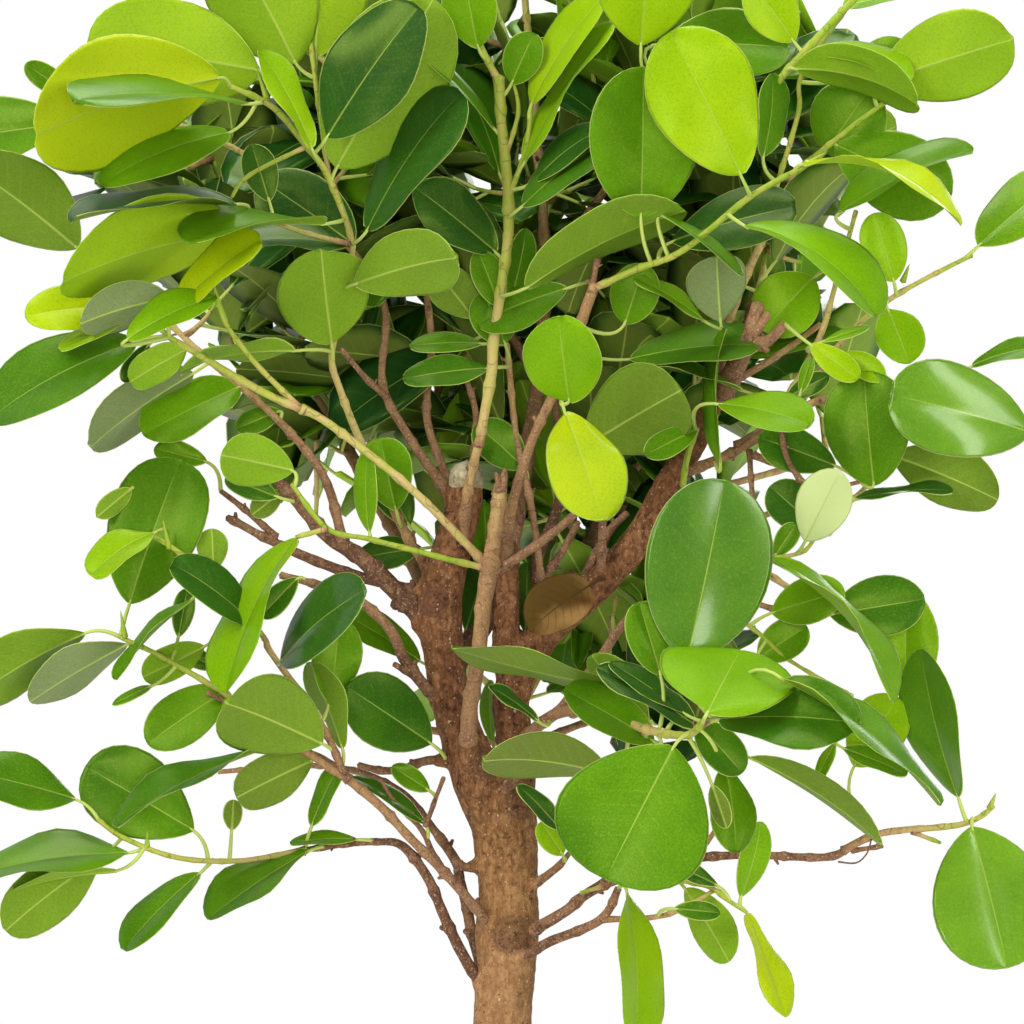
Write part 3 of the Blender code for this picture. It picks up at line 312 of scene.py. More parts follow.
# Leaves listed one by one, by the part of the crown they fill. Each: its own CAD node if it has one, the blade's base
# (offset, height, forward), its tip, its width as seen from EYE in cm, negative where the under side is seen,
# its tone (0 dark to 1 lime, -0.1 silvery below, 1.5 cream) and its arch.
LEAVES = {
    "upper_left": [
        ("leaf_left_high", -12.8, 83.6, 6.6, -21.1, 81, 12, -5.3, 1.12, 0.16),
        ("leaf_left_high_rear", -11, 83.9, 5, -18.8, 85.2, 4, -4.8, 0.75, 0.1),
        (-11.7, 82.4, 7.6, -19.4, 82.4, 13.4, 2, 0.3, 0.1), (-8.7, 80.4, 5.5, -10.9, 85, 6, 1.3, 0.75, 0.05),
        (-12.4, 81.1, 6, -18.4, 79, 9, 2.6, 0.45, 0.08), (-12.1, 77.9, 6.4, -19.5, 77, 10.8, 1.6, 0.05, 0.1),
        (-12, 76.7, 5.4, -19.9, 74.3, 10, -3.7, 0.85, 0.12), (-8.1, 77, 4.8, -14.3, 76.1, 9.6, 1.5, 0.45, 0.1),
        (-14.8, 73.2, 6.8, -11.1, 76.5, 8.6, 2, 0.97, 0.05), (-17.6, 73.3, 6, -21.6, 72.8, 7.5, 2.1, 0.9, 0.1),
        (-15.1, 73.7, 6.3, -19.1, 72.5, 8.3, -2.1, -0.1, 0.1), (-17, 71.8, 8.4, -13, 73.9, 8, 1.7, 0.62, 0.08),
        (-17, 72.6, 6.2, -20.1, 71.4, 7.2, 0.8, 0.8, 0.05),
        ("leaf_left_reach", -16.6, 71.7, 6.3, -23.5, 68.4, 7.8, 3.2, 0.3, 0.08),
        (-14.3, 71.4, 5.8, -16.9, 69.9, 6.8, -1.6, 0.65, 0.05), (-9.4, 71.3, 3.5, -14.7, 70.6, 5.5, -0.9, 0.5, 0.1),
        (-16, 71.6, 5, -17.2, 69.9, 5.5, 0.9, 0.1, 0),
        ("leaf_left_edge_high", -19.9, 81.5, -0.6, -25.5, 80.6, -2.5, 3.5, 0.36, 0.06),
        ("leaf_left_edge_mid", -19.2, 75.9, 1, -24.4, 80, 3.8, -3.9, 0.34, 0.06),
        (-19.2, 82.6, 0, -21.6, 84.2, 0.5, 1.2, 0.4, 0), (-9.4, 84.2, 3.5, -12.5, 90, 5, -5, 0.72, 0.1),
        (-8.5, 84.5, 3.2, -8.5, 90, 4.7, -4.5, 0.75, 0.1),
        ("leaf_dark_high", -8, 80.9, 5.2, -4, 86.9, 7.2, 4, 0.02, 0.05),
        (-7.6, 79.5, 4, -3.2, 87.2, 5.2, -5.2, 0.5, 0.08), (-6.2, 76.7, 3.4, -2.1, 83.1, 5.2, 2.9, 0.08, 0.08),
        (-6.8, 76.1, 2.2, -11, 79, 0.7, 3.3, 0.05, 0.05), (-10.6, 78, 3, -11.4, 80.6, 3, 1.6, 0.1, 0),
        (-7, 76, 2.4, -12.5, 76.2, 3.4, 1.5, 0.1, 0.1),
        ("leaf_left_crown", -7.8, 71.6, 1.8, -8.3, 75.9, 4.4, -4.2, 0.55, 0.06),
        (-6.8, 74.3, 3.2, -2.1, 75.6, 6.2, -3.2, 0.45, 0.12), (-0.4, 75.7, 1.6, -4.1, 78.7, 2.6, 2.6, 0.1, 0.05),
        (-0.3, 73.3, 1.6, -1.2, 75.8, 2.1, 1.5, 0.35, 0.05), (2.8, 74.1, 1.4, -1.3, 72.6, 1.9, 2.2, 0.3, 0.06),
        (0.2, 73.5, 1.2, 1, 76.8, 1.4, 1.2, 0.3, 0.05), (0, 71.6, 1.2, -1, 74, 1.7, 2.2, 0.3, 0.05),
        (-1.4, 72.8, 1, -3.2, 75, 1.5, -2, 0.3, 0.05),
    ],
    "upper_right": [
        (0.8, 77.8, 3.2, 4.8, 80.9, 4.6, 1.9, 0.25, 0.08), (1.3, 78.9, 3, 4.2, 81.4, 4.5, 1.5, 0.15, 0.08),
        (0.9, 79.8, 2.8, 5, 86.1, 4.3, 1.1, 0.7, 0.08), (1.2, 82.4, 3, 4.5, 87.5, 4, 1.8, 0.8, 0.08),
        (0.3, 83.3, 2.4, 1.3, 85.6, 3.4, 1.8, 0.4, 0.05), (-1.2, 84.9, 2.4, -1.8, 88, 3.4, 2.5, 0.55, 0.05),
        (-0.5, 81.3, 2.2, -4.2, 84.9, 3.7, 0.7, 0.3, 0.08),
        ("leaf_green_high", 6.1, 77.3, 5.4, 6.2, 84.1, 6.4, 4.9, 0.46, 0.05),
        ("leaf_lime_high", 10.6, 79.2, 7, 7.5, 85.7, 8.6, 4.8, 0.85, 0.05),
        (7, 85.1, 3, 12.8, 85, 2, 3.2, 0.33, 0.05), (6.1, 85, 4.5, 6.5, 91, 6, 5, 0.8, 0.05),
        (13, 85.2, 2.6, 11, 88, 3.6, 2.5, 0.8, 0.05), (11.6, 80, 3, 12.2, 83.8, 3.5, 1.5, 0.3, 0.05),
        (13, 84, 3.6, 18.5, 82.3, 6.6, -1.9, 0.6, 0.2), (13.5, 84.6, 2.8, 18.3, 83.5, 4.8, 1.5, 0.7, 0.2),
        (15.4, 83.6, 2, 18.2, 85, 3, 1.9, 0.5, 0.05),
        ("leaf_right_high", 16.9, 83.4, 3.4, 22.9, 85.4, 5, -3.9, 0.72, 0.06),
        (15.2, 86.8, 1.5, 20.7, 87.2, 3, 1.6, 0.6, 0.1), (14.4, 80.2, 1, 16.5, 83.2, 1.5, 3.5, 0.35, 0.05),
        (13.4, 79.7, 7.2, 20.5, 76.9, 10.2, 1, 0.95, 0.28), (15, 77.5, 3, 21.1, 80.4, 5, 1.6, 0.45, 0.08),
        (14.8, 80.6, 1.5, 20, 78, 2.5, 3.8, 0.38, 0.08), (17.5, 74.4, 3, 16.6, 77.5, 3.5, 2.1, 0.65, 0.05),
        (17.2, 73.2, 3.4, 18.2, 70.7, 4.4, 2.2, 0.65, 0.05),
        ("leaf_right_arch", 10.8, 76.9, 7.4, 17, 73, 10.4, 2.2, 0.55, 0.2),
        (7.5, 76.2, 3.6, 13.1, 77.9, 5.1, 2.8, 0.05, 0.05), (0.9, 74.1, 3.4, 8.1, 77.6, 5.4, -2.1, 0.42, 0.1),
        (5.4, 72.5, 2.6, 6.3, 75.2, 3, 2.2, 0.35, 0.08), (9.7, 72.6, 2.2, 9.5, 75.6, 3.4, -2.8, -0.1, 0.05),
        (7.1, 77.4, 5.2, 10.8, 74.8, 6.2, 0.6, 0.4, 0.05), (9, 72.6, 2.6, 5.8, 74.6, 3.6, 0.8, 0.6, 0.08),
        (13.9, 74.6, 1.2, 11.6, 72.2, 1.4, 3, 0.62, 0.08), (5.6, 70.9, 1.5, 11.5, 71.6, 3, 2, 0.28, 0.08),
        (9.7, 66.2, 2.6, 9.6, 72.4, 3.1, 0.6, 0.35, 0.08), (10.7, 69.5, 2, 6.4, 70.6, 2.5, 0.5, 0.35, 0.1),
        (3.6, 67, 1.2, 8, 69.6, 3.4, -4.2, 0.33, 0.06), (8.7, 67.8, 2, 6.3, 66.6, 3, 1.3, 0.38, 0.05),
        ("leaf_green_centre", 2.9, 69, 4.2, 2.4, 72.8, 6.6, 3.5, 0.6, 0.06),
        ("leaf_lime_centre", 2.7, 68.5, 4.4, 4.4, 63.7, 7, 3.4, 0.92, 0.06),
        ("leaf_glossy", 8.2, 57.4, 9.6, 9.9, 65.5, 9.2, 5.6, 0.24, 0.04),
    ],
    "middle": [
        (7, 56.7, 9, 6, 60, 9.2, 2, 0.36, 0.04),
        ("leaf_lime_front", 9.1, 55, 15.2, 10.6, 57.8, 10.8, 5.8, 0.58, 0.04),
        (9.6, 54.7, 12.2, 16, 54.6, 14.6, 2.8, 0.25, 0.08), (12.4, 56.6, 13.6, 19.6, 50.8, 15.2, 1, 0.36, 0.12),
        (15.7, 52.6, 3, 17.7, 55.7, 4, 2.6, 0.7, 0.05), (15.2, 53.4, 3.5, 18.1, 52.2, 4.5, 1, 0.35, 0.05),
        ("leaf_round_low", 7.6, 53.5, 13, 4.5, 47.5, 14.4, 6.6, 0.33, 0.03),
        ("leaf_under_low", 4.6, 52.3, 6.4, -1.05, 53.1, 8.4, -2.3, 0.12, 0.08),
        ("leaf_under_front", 4.6, 56.3, 7, -2.4, 58.1, 8.4, -1.5, 0.27, -0.06),
        (6.7, 53.7, 7.6, 2.6, 56, 8, 2, 0.38, 0.05), (6.3, 53.6, 6, 4, 57.7, 6.4, -1.7, 0.45, 0.05),
        (8.6, 54.6, 8.4, 10.7, 52.3, 9, 1.8, 0.25, 0.05), (-1, 61, -1.5, -0.9, 64.6, -2, 1.5, 0.35, 0.05),
        (-1.8, 58.7, -2.4, -0.7, 62.8, -3, 1.9, 0.12, 0.05), (-0.2, 59.6, -2.6, -0.6, 61.9, -3.2, 1.1, 0.2, 0.05),
        (0.9, 58.6, -3, 1, 61.8, -3.4, 1.4, 0.1, 0.05), (14.9, 53.7, 8, 14, 52, 8, 0.6, 0.6, 0),
        (8.7, 54.3, 9.2, 4.1, 57, 8.6, 1.3, 0.05, 0.08), (8, 55, 9, 4.7, 57.3, 8.4, 1, 0.1, 0.05),
        (1.5, 54.6, 3, -0.7, 56.3, 3.5, 0.6, 0.1, 0.05), (-0.55, 53.6, -1.9, -0.75, 56.5, -2.2, 0.8, 0.45, 0.05),
        (2.5, 49.7, 3.4, 0.6, 51.8, 3.6, 0.9, 0.1, 0.05), (2.6, 48.6, 2.2, 1.6, 50.1, 2.6, 1.2, 0.75, 0),
        (9.9, 52.6, 8, 10.5, 48.7, 9, 2, 0.42, 0.05), (9.3, 51.8, 12.4, 10, 49.8, 12.8, -0.9, 0.2, 0),
        (11, 53, 8.6, 17, 49.1, 11.6, -1.2, 0.3, 0.1),
        ("leaf_right_tall", 20.4, 51.2, 5, 18.8, 57.9, 5.3, 2.1, 0.32, 0.08),
        ("leaf_right_low", 21, 49.9, 5.4, 22.6, 43.5, 6.6, 5.4, 0.46, 0.05),
        ("leaf_drooping", 5.5, 46.9, 5, 6.1, 40.3, 7.6, 2.1, 0.75, 0.05),
    ],
    "low_right": [
        (8.1, 47.1, 3.4, 10.1, 43.8, 4.4, -1.9, 0.62, 0.05), (7.6, 46.2, 5, 9.7, 46, 5.4, 0.9, 0.2, 0.05),
        (10.9, 46, 4.7, 12.6, 41.3, 6.7, 1.3, 1, 0.04), (10.6, 46.7, 4.5, 11.6, 50.1, 5.5, 1.4, 0.55, 0.1),
        (9.6, 47.2, 4.4, 7.6, 48.2, 4.9, 0.8, 0.15, 0.03),
        ("leaf_right_glossy", 23.7, 67.6, 6.4, 17.4, 69.4, 9, 4.1, 0.4, 0.05),
        ("leaf_right_under", 17.4, 66.6, 4, 22.2, 64.6, 4.4, -2.7, 0.3, 0.08),
    ],
    "right": [
        (15.7, 64.6, 3.8, 20.2, 65, 4.8, 0.5, 0.1, 0.08), (16.6, 65.2, 4.6, 16.1, 70.4, 5.1, 3.8, 0.33, 0.05),
        (14.9, 66.1, 2.3, 11.4, 67.4, 2.6, 2.1, 0.22, 0.05), (9.6, 68.9, 5.5, 13.8, 68.1, 8, 1.9, 0.6, 0.06),
        (13.5, 62.7, 6, 15.1, 65.9, 7, 2.4, 1.5, 0.05), (14.2, 63.2, 3, 11.9, 65.2, 3, 2.1, 0.12, 0),
        (12.1, 62, 4.6, 13.1, 63.5, 4.9, 1, 0.35, 0), (11.9, 61.9, 7, 17.4, 55.4, 10, 0.9, 0.55, 0.22),
        (12, 59.5, 5, 15.3, 60.5, 6.5, 2.1, 0.5, 0.06),
        ("leaf_right_rear", 14.6, 59.4, 4.6, 18.9, 60.1, 4.4, 2.7, 0.22, 0.06),
        (18.1, 60.7, 2.4, 18, 56.1, 2.9, 2.9, 0.6, 0.05), (11.4, 57.5, 4.8, 13.6, 58.9, 5.1, 1.8, 0.4, 0.05),
        (21, 70.6, 4, 24.5, 71.6, 5, 0.9, 0.3, 0.1), (13.7, 71.6, 4.6, 15.9, 70, 5.6, 1.3, 0.8, 0.05),
        (15.2, 71.2, 4.2, 17.1, 70, 5.2, 1.2, 0.75, 0.05), (13.3, 69.4, 4, 13.8, 71, 4.3, 0.6, 0.4, 0.05),
        (12.7, 69.2, 2.5, 14.6, 70.2, 3, 1, 0.08, 0.05), (14.3, 71.7, 4.4, 16.4, 72.3, 4.9, 0.5, 0.6, 0.05),
        ("leaf_right_side", 21.3, 76, 2.8, 25.4, 79.4, 1.4, 2.6, 0.45, 0.06),
    ],
    "left": [
        (-9.5, 65.9, 4.6, -12.8, 66.6, 6.1, -2.4, 0.62, 0.08), (-10.2, 64.7, 2, -12.6, 65.6, 2.2, 1.2, 0.15, 0.05),
        (-10, 65, 1.2, -11.4, 63.9, 1.4, -1.1, 0.3, 0.05), (-3.7, 62.4, -1.8, -6.7, 61.9, -2.2, 1.5, 0.15, 0.05),
        (-4.3, 63.4, -2, -5.7, 66, -2.4, 1.8, 0.12, 0.05),
        ("leaf_left_mid", -16.9, 59.9, 3.4, -14.6, 66.4, 2.6, 4.3, 0.32, 0.08),
        (-15.8, 63.1, 4.2, -18.7, 61.2, 5.7, 1.6, 0.72, 0.16), (-13.4, 66.3, 1, -15.8, 66.9, 1, 1.2, 0.4, 0.05),
        (-11.2, 58.9, 4.6, -14.9, 61.9, 6.1, 1.7, 0.15, 0.05), (-14.1, 60.1, 4.4, -17.6, 56.5, 5.4, 0.5, 0.4, 0.1),
        (-9.4, 62.9, 4.4, -12.6, 55.9, 6.4, 2, 0.64, 0.12), (-9.3, 61.1, 2.5, -11, 59.3, 3, 1.2, 0.2, 0.05),
        ("leaf_left_dark", -10.1, 57.3, 5, -6.2, 60.5, 8.6, 2.7, 0.08, 0.12),
        (-7.9, 55.5, 3.6, -7.4, 59.4, 3.2, 2.2, 0.42, 0.05), (-3.8, 57.3, -1, -7.2, 59.4, -1, 1.5, 0.35, 0.05),
        ("leaf_left_heart", -8.2, 53.6, 4.2, -12.7, 55.6, 8, -3.9, 0.36, 0.06),
        (-7.3, 53.4, 3.4, -8.8, 57.3, 3.9, -1.5, 0.42, 0.05), (-3.3, 53.6, 1.8, -7.2, 56.2, 3.8, 3.2, 0.14, 0.05),
        (-8.6, 52.9, 2.6, -12.1, 51.2, 4.1, -2.3, 0.25, 0.05), (-11.2, 53.3, 4.6, -17.7, 50, 7.6, 1.1, 0.3, 0.06),
        (-14, 49.7, 2.4, -18.9, 52.6, 2.9, 3.8, 0.27, 0.05),
        ("leaf_left_foot", -19.3, 51.1, 3.8, -24.8, 52.4, 4.8, 2.1, 0.32, 0.06),
        (-16.9, 48.7, 3.2, -24.8, 47.5, 4, 1.6, 0.45, 0.08), (-18.2, 48.5, 2.6, -22.6, 45.3, 3.1, -2.7, 0.44, 0.05),
        (-17.4, 47.9, 3.5, -22.2, 47.2, 3.9, -0.6, 0.6, 0.05), (-13.7, 47.8, 2.6, -17.3, 44.4, 3.6, 1.6, 0.33, 0.05),
        (-8.8, 48.8, 2.2, -13.4, 45.7, 3.7, 1.7, 0.33, 0.05), (-6.6, 49.3, 1.6, -9.7, 49.2, 2.1, 0.6, 0.42, 0.05),
        (-8.7, 49.9, 2, -7.4, 52.8, 2.3, 1, 0.35, 0.05), (-12.3, 49.7, 2.4, -12.2, 51.1, 2.4, -0.9, 0.2, 0),
        (-3.6, 50, 1.6, -6.8, 52.3, 2.1, 0.7, 0.2, 0.05), (-3.4, 51.5, 1, -5.1, 52.6, 1.3, 1, 0.35, 0.05),
        ("leaf_left_low", -18.9, 58.6, 4.7, -24.4, 55.5, 5.6, -2.4, 0.48, 0.08),
        (-17, 58.1, 4.2, -21.4, 55.5, 4.7, -1.9, -0.1, 0.05), (-13.5, 58, 3.4, -16.3, 56.6, 4, -1.6, 0.6, 0),
        (-12.9, 57, 3, -14.6, 57.8, 3.2, 0.9, 0.1, 0), (-13.1, 61.4, 3.6, -13.2, 63.3, 3.6, -1.4, 0.5, 0),
        (-14.7, 58.4, 3.6, -14.3, 60.6, 3.6, 1, 0.2, 0), (-16.8, 65.1, 3, -18.4, 63.8, 3.6, -1, 0.5, 0),
        (-12.6, 56, 3.6, -16.1, 53.6, 4.1, 2.4, 0.38, 0.05), (-15.9, 56.2, 4, -17.7, 55.4, 4.2, 0.5, 0.4, 0),
        (-14, 70.3, 0.5, -18.8, 67.1, 1.5, -2.2, -0.1, 0.05), (-11.9, 69.7, 0.2, -16.3, 67.5, 1.2, 2.5, 0.44, 0.05),
        (-10.1, 68.6, 0, -12.1, 67.8, 0.4, 1.2, 0.3, 0), (-6.1, 63.1, 3, -6.3, 66.8, 3.5, 1.1, 0.55, 0.05),
        (-4.9, 64.1, 1.4, -5.6, 67.4, 1.9, 2.4, 0.42, 0.05), (-0.7, 70.5, 1.2, -4.6, 70, 1.7, 1.4, 0.2, 0.08),
        (-1, 71.6, 0.8, -4.3, 71.6, 1.1, 1, 0.3, 0.05), (0.9, 66, 0.3, -1.3, 68, 0.6, 2, 0.25, 0.05),
    ],
    "top_and_rear": [
        ("leaf_top_left", -9.3, 88.3, 2.8, -13, 93, 3, -4.2, 0.7, 0.06),
        ("leaf_top_centre", -1.6, 90.2, 2, 0.5, 95.2, 4.2, 3.6, 0.8, 0.06),
        ("leaf_top_right", 9, 86.6, -8, 11, 92.5, -10, 3.6, 0.7, 0.06),
        ("leaf_rear_left", -12.3, 79.4, -17.3, -15.5, 82, -22.5, -3.6, 0.5, 0.1),
        ("leaf_rear_right", 13.9, 78.4, -16.2, 17.5, 81.5, -21, -3.6, 0.5, 0.1),
        ("leaf_rear_low", -1.8, 57.4, -16.4, -3, 55, -23, -3.6, 0.4, 0.1),
    ],
}
GLOSSY = {"leaf_glossy", "leaf_right_glossy", "leaf_lime_centre", "leaf_right_low", "leaf_left_dark"}
DRIED_LEAF = ((3.8, 60.7, 1.6), (1.1, 58.7, 2.8))

# Where leaves grown by rule may show from the front: (centre offset, centre height, half width, half height)
REAR_ZONES = [(-1.5, 80.5, 18.0, 12.5), (4.5, 70.5, 11.5, 9.0), (6.5, 57.5, 5.5, 6.0), (-4.5, 68.5, 7.5, 6.0)]
# The part of the elevation that the listed leaves cover: half its width, its foot and its top
FRONT_HALF, FRONT_FOOT, FRONT_TOP = 23.5, 40.0, 88.0
SPRAY_TARGETS = 260
SHORTEST_SPRAY, LONGEST_SPRAY, LEAF_GAP = 0.012, 0.12, 0.014


# ---------------------------------------------------------------- paths
def shares(steps, first=0, last=None):
    """Even shares of a whole cut into steps, from the first to the last."""
    return [step / steps for step in range(first, (steps if last is None else last) + 1)]


def traced(run):
    return [(placed(offset, height, forward), radius * CM) for offset, height, forward, radius in run]


def smooth_path(points, spacing):
    """Points and radii along a Catmull-Rom curve through pairs of a point and a radius."""
    knots = [points[0]] + list(points) + [points[-1]]
    path = []
    for a, b, c, d in zip(knots, knots[1:], knots[2:], knots[3:]):
        steps = max(2, math.ceil((c[0] - b[0]).length / spacing))
        for t in shares(steps, 0, steps - 1):
            place = 0.5 * (2 * b[0] + (c[0] - a[0]) * t + (2 * a[0] - 5 * b[0] + 4 * c[0] - d[0]) * t * t
                           + (3 * b[0] - 3 * c[0] + d[0] - a[0]) * t**3)
            path.append((place, b[1] + (c[1] - b[1]) * t))
    path.append(points[-1])
    return path


def arc(a, b, c, s):
    """The place at share s of the bend from a to c that leans towards b, and the way it heads there."""
    first, second = a.lerp(b, s), b.lerp(c, s)
    return first.lerp(second, s), (second - first).normalized()


def sideways(ahead, turn):
    """The direction square to ahead, turned about it."""
    return Matrix.Rotation(turn, 3, ahead) @ ahead.orthogonal().normalized()


# ---------------------------------------------------------------- meshes
def linked(name, data):
    """A new object of the scene."""
    obj = bpy.data.objects.new(name, data)
    bpy.context.scene.collection.objects.link(obj)
    return obj


def shown(name, mesh, material):
    """An object of the plant that rides on the body, with its one material."""
    obj = linked(name, mesh)
    mesh.materials.clear()
    mesh.materials.append(material)
    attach(obj, BODY)
    return obj


def smooth_mesh(name, points, faces):
    mesh = bpy.data.meshes.new(name)
    mesh.from_pydata(points, [], faces)
    mesh.shade_smooth()
    return mesh


def mesh_of(name, shape):
    """A mesh of a bmesh, which is then freed."""
    mesh = bpy.data.meshes.new(name)
    shape.to_mesh(mesh)
    shape.free()
    return mesh


def evaluated(obj):
    """The object's mesh after its modifiers, which are then taken off."""
    graph = bpy.context.evaluated_depsgraph_get()
    mesh = bpy.data.meshes.new_from_object(obj.evaluated_get(graph))
    obj.modifiers.clear()
    return mesh


def displaced(mesh, amount):
    """Moves each vertex along its normal by amount(place), in metres."""
    moves = [(vertex, vertex.normal * amount(vertex.co)) for vertex in mesh.vertices]
    for vertex, move in moves:
        vertex.co = vertex.co + move
    mesh.update()


class Growth:
    """Vertices, faces and three-part point values gathered for one piece."""

    def __init__(self, *value_names):
        self.names = value_names
        self.points, self.faces, self.values = [], [], [[] for _ in value_names]

    def add(self, points, faces, *values):
        start = len(self.points)
        self.points.extend(points)
        self.faces.extend([tuple(start + i for i in face) for face in faces])
        for kept, given in zip(self.values, values):
            kept.extend(given)

    def made(self, name, material):
        mesh = smooth_mesh(name, self.points, self.faces)
        for value_name, kept in zip(self.names, self.values):
            attribute = mesh.attributes.new(value_name, "FLOAT_VECTOR", "POINT")
            attribute.data.foreach_set("vector", np.array(kept, np.float32).ravel())
        return shown(name, mesh, material)


def grown_leaves():
    return Growth("blade", "looks")


def old_bark(run, radius, share):
    return 1.0, run, radius


def tube(growth, path, sides, values, wobble=0.0, seed=0.0):
    """Adds a closed round tube along a path of places and radii.

    values gives a ring's point values from its length so far, its radius and its share of the path."""
    points, faces, listed = [], [], []
    shift = Vector((seed * 7.1, seed * 3.3, seed * 5.7))
    side = (path[1][0] - path[0][0]).normalized().orthogonal().normalized()
    run, last = 0.0, len(path) - 1
    for index, (place, radius) in enumerate(path):
        ahead = (path[min(index + 1, last)][0] - path[max(index - 1, 0)][0]).normalized()
        side = (side - ahead * side.dot(ahead)).normalized()
        lift = ahead.cross(side)
        if index:
            run += (place - path[index - 1][0]).length
        for step in range(sides):
            turn = math.tau * step / sides
            out = side * math.cos(turn) + lift * math.sin(turn)
            points.append(place + out * (radius * (1.0 + wobble * noise.noise(place * 160.0 + out * 0.8 + shift))))
            listed.append(values(run, radius, index / last))
    edges = [(step, (step + 1) % sides) for step in range(sides)]
    for ring in range(last):
        for a, b in edges:
            low, high = ring * sides, (ring + 1) * sides
            faces.append((low + a, low + b, high + b, high + a))
    for ring, inner in ((0, 1), (last, last - 1)):
        place, radius = path[ring]
        points.append(place + (place - path[inner][0]).normalized() * radius * 0.5)
        listed.append(listed[ring * sides])
        for a, b in edges:
            a, b = (a, b) if ring else (b, a)
            faces.append((ring * sides + a, ring * sides + b, len(points) - 1))
    growth.add(points, faces, listed)


def turned(name, profile, sides, material):
    """A piece turned about Z from a profile of (radius, height), from its axis at the top to its axis below."""
    inner = profile[1:-1]
    points = [(0.0, 0.0, profile[0][1]), (0.0, 0.0, profile[-1][1])]
    for radius, height in inner:
        for step in range(sides):
            turn = math.tau * step / sides
            points.append((radius * math.cos(turn), radius * math.sin(turn), height))
    faces = []
    lowest = 2 + (len(inner) - 1) * sides
    for step in range(sides):
        after = (step + 1) % sides
        faces += [(0, 2 + step, 2 + after), (1, lowest + after, lowest + step)]
        for ring in range(len(inner) - 1):
            a, b = 2 + ring * sides + step, 2 + ring * sides + after
            faces.append((a, a + sides, b + sides, b))
    return shown(name, smooth_mesh(name, points, faces), material)


# ---------------------------------------------------------------- node materials
class Wire:
    """A shader socket on which arithmetic can be written."""

    def __init__(self, board, socket):
        self.board, self.socket = board, socket

    def maths(self, operation, *others):
        return self.board.node("ShaderNodeMath", {"operation": operation}, dict(enumerate((self, *others))))

    def __add__(self, other):
        return self.maths("ADD", other)

    def __mul__(self, other):
        return self.maths("MULTIPLY", other)

    def __sub__(self, other):
        return self.maths("SUBTRACT", other)

    def __truediv__(self, other):
        return self.maths("DIVIDE", other)

    def __pow__(self, other):
        return self.maths("POWER", other)

    def __rsub__(self, other):
        return self * -1.0 + other

    def __abs__(self):
        return self.maths("ABSOLUTE")

    __radd__, __rmul__ = __add__, __mul__

    def step(self, low, high):
        """0 below low and 1 above high, smooth between them; low above high turns it round."""
        return self.board.node("ShaderNodeMapRange", {"interpolation_type": "SMOOTHSTEP"},
                               {"Value": self, "From Min": low, "From Max": high})

    def wave(self):
        """0 at whole numbers and 1 half-way between them."""
        return abs(self.maths("FRACT") - 0.5) * -2.0 + 1.0

    def parts(self):
        """The three parts of a vector."""
        node = self.board.node("ShaderNodeSeparateXYZ", {}, {0: self}).socket.node
        return [Wire(self.board, output) for output in node.outputs]


class Board:
    """A new node material and its Principled shader."""

    def __init__(self, name):
        self.material = bpy.data.materials.new(name)
        self.material.use_nodes = True
        self.tree = self.material.node_tree
        self.shader = self.tree.nodes["Principled BSDF"]
        self.place = self.node("ShaderNodeTexCoord", {}, {}, "Object")

    def node(self, kind, settings, sockets, output=0):
        """A new node of a kind, with its settings, then its sockets' values or links; gives one of its outputs."""
        node = self.tree.nodes.new(kind)
        for key, setting in settings.items():
            setattr(node, key, setting)
        for key, item in sockets.items():
            self.set(node.inputs[key], item)
        return Wire(self, node.outputs[output])

    def set(self, socket, item):
        if isinstance(item, Wire):
            self.tree.links.new(item.socket, socket)
        elif isinstance(item, tuple) and socket.type == "RGBA":
            socket.default_value = (*item, 1.0)
        else:
            socket.default_value = item

    def value(self, name):
        """The three parts of a point value."""
        return self.node("ShaderNodeAttribute", {"attribute_name": name}, {}, "Vector").parts()

    def stretched(self, stretch):
        return self.node("ShaderNodeVectorMath", {"operation": "MULTIPLY"}, {0: self.place, 1: stretch})

    def noise(self, scale, detail=3.0, stretch=None, distortion=0.0, rough=0.5):
        return self.node("ShaderNodeTexNoise", {}, {
            "Vector": self.stretched(stretch) if stretch else self.place, "Scale": scale, "Detail": detail,
            "Roughness": rough, "Distortion": distortion})

    def dots(self, scale, size, stretch=(1.0, 1.0, 1.0), share=1.0):
        """1 inside scattered dots of varied size and 0 around them; share is how many of the places have one."""
        where = self.stretched(stretch)
        distance = self.node("ShaderNodeTexVoronoi", {}, {"Vector": where, "Scale": scale}, "Distance")
        lot, measure, _ = Wire(self, distance.socket.node.outputs["Color"]).parts()
        return (distance / (measure * 0.9 + 0.5)).step(size, size * 0.5) * lot.step(share, share - 0.02)

    def ramp(self, factor, *stops):
        """Colours along a factor, from the lowest stop to the highest; each stop is a position and a colour."""
        colours = self.node("ShaderNodeValToRGB", {}, {0: factor})
        elements = colours.socket.node.color_ramp.elements
        for _ in stops[2:]:
            elements.new(1.0)
        for element, (position, colour) in zip(elements, stops):
            element.position, element.color = position, (*colour, 1.0)
        return colours

    def blend(self, factor, low, high):
        return self.node("ShaderNodeMix", {"data_type": "RGBA"}, {0: factor, 6: low, 7: high}, 2)

    def bump(self, height, strength, distance):
        sockets = {"Height": height, "Strength": strength, "Distance": distance}
        return self.node("ShaderNodeBump", {}, sockets, "Normal")

    def finish(self, **sockets):
        for name, item in sockets.items():
            self.set(self.shader.inputs[name.replace("_", " ")], item)
        return self.material

    def let_light_through(self, colour, factor):
        """Mixes a translucent shader of one colour into the Principled one."""
        glow = self.node("ShaderNodeBsdfTranslucent", {}, {"Color": colour})
        mixed = self.node("ShaderNodeMixShader", {}, {0: factor, 1: Wire(self, self.shader.outputs[0]), 2: glow})
        self.set(self.tree.nodes["Material Output"].inputs["Surface"], mixed)


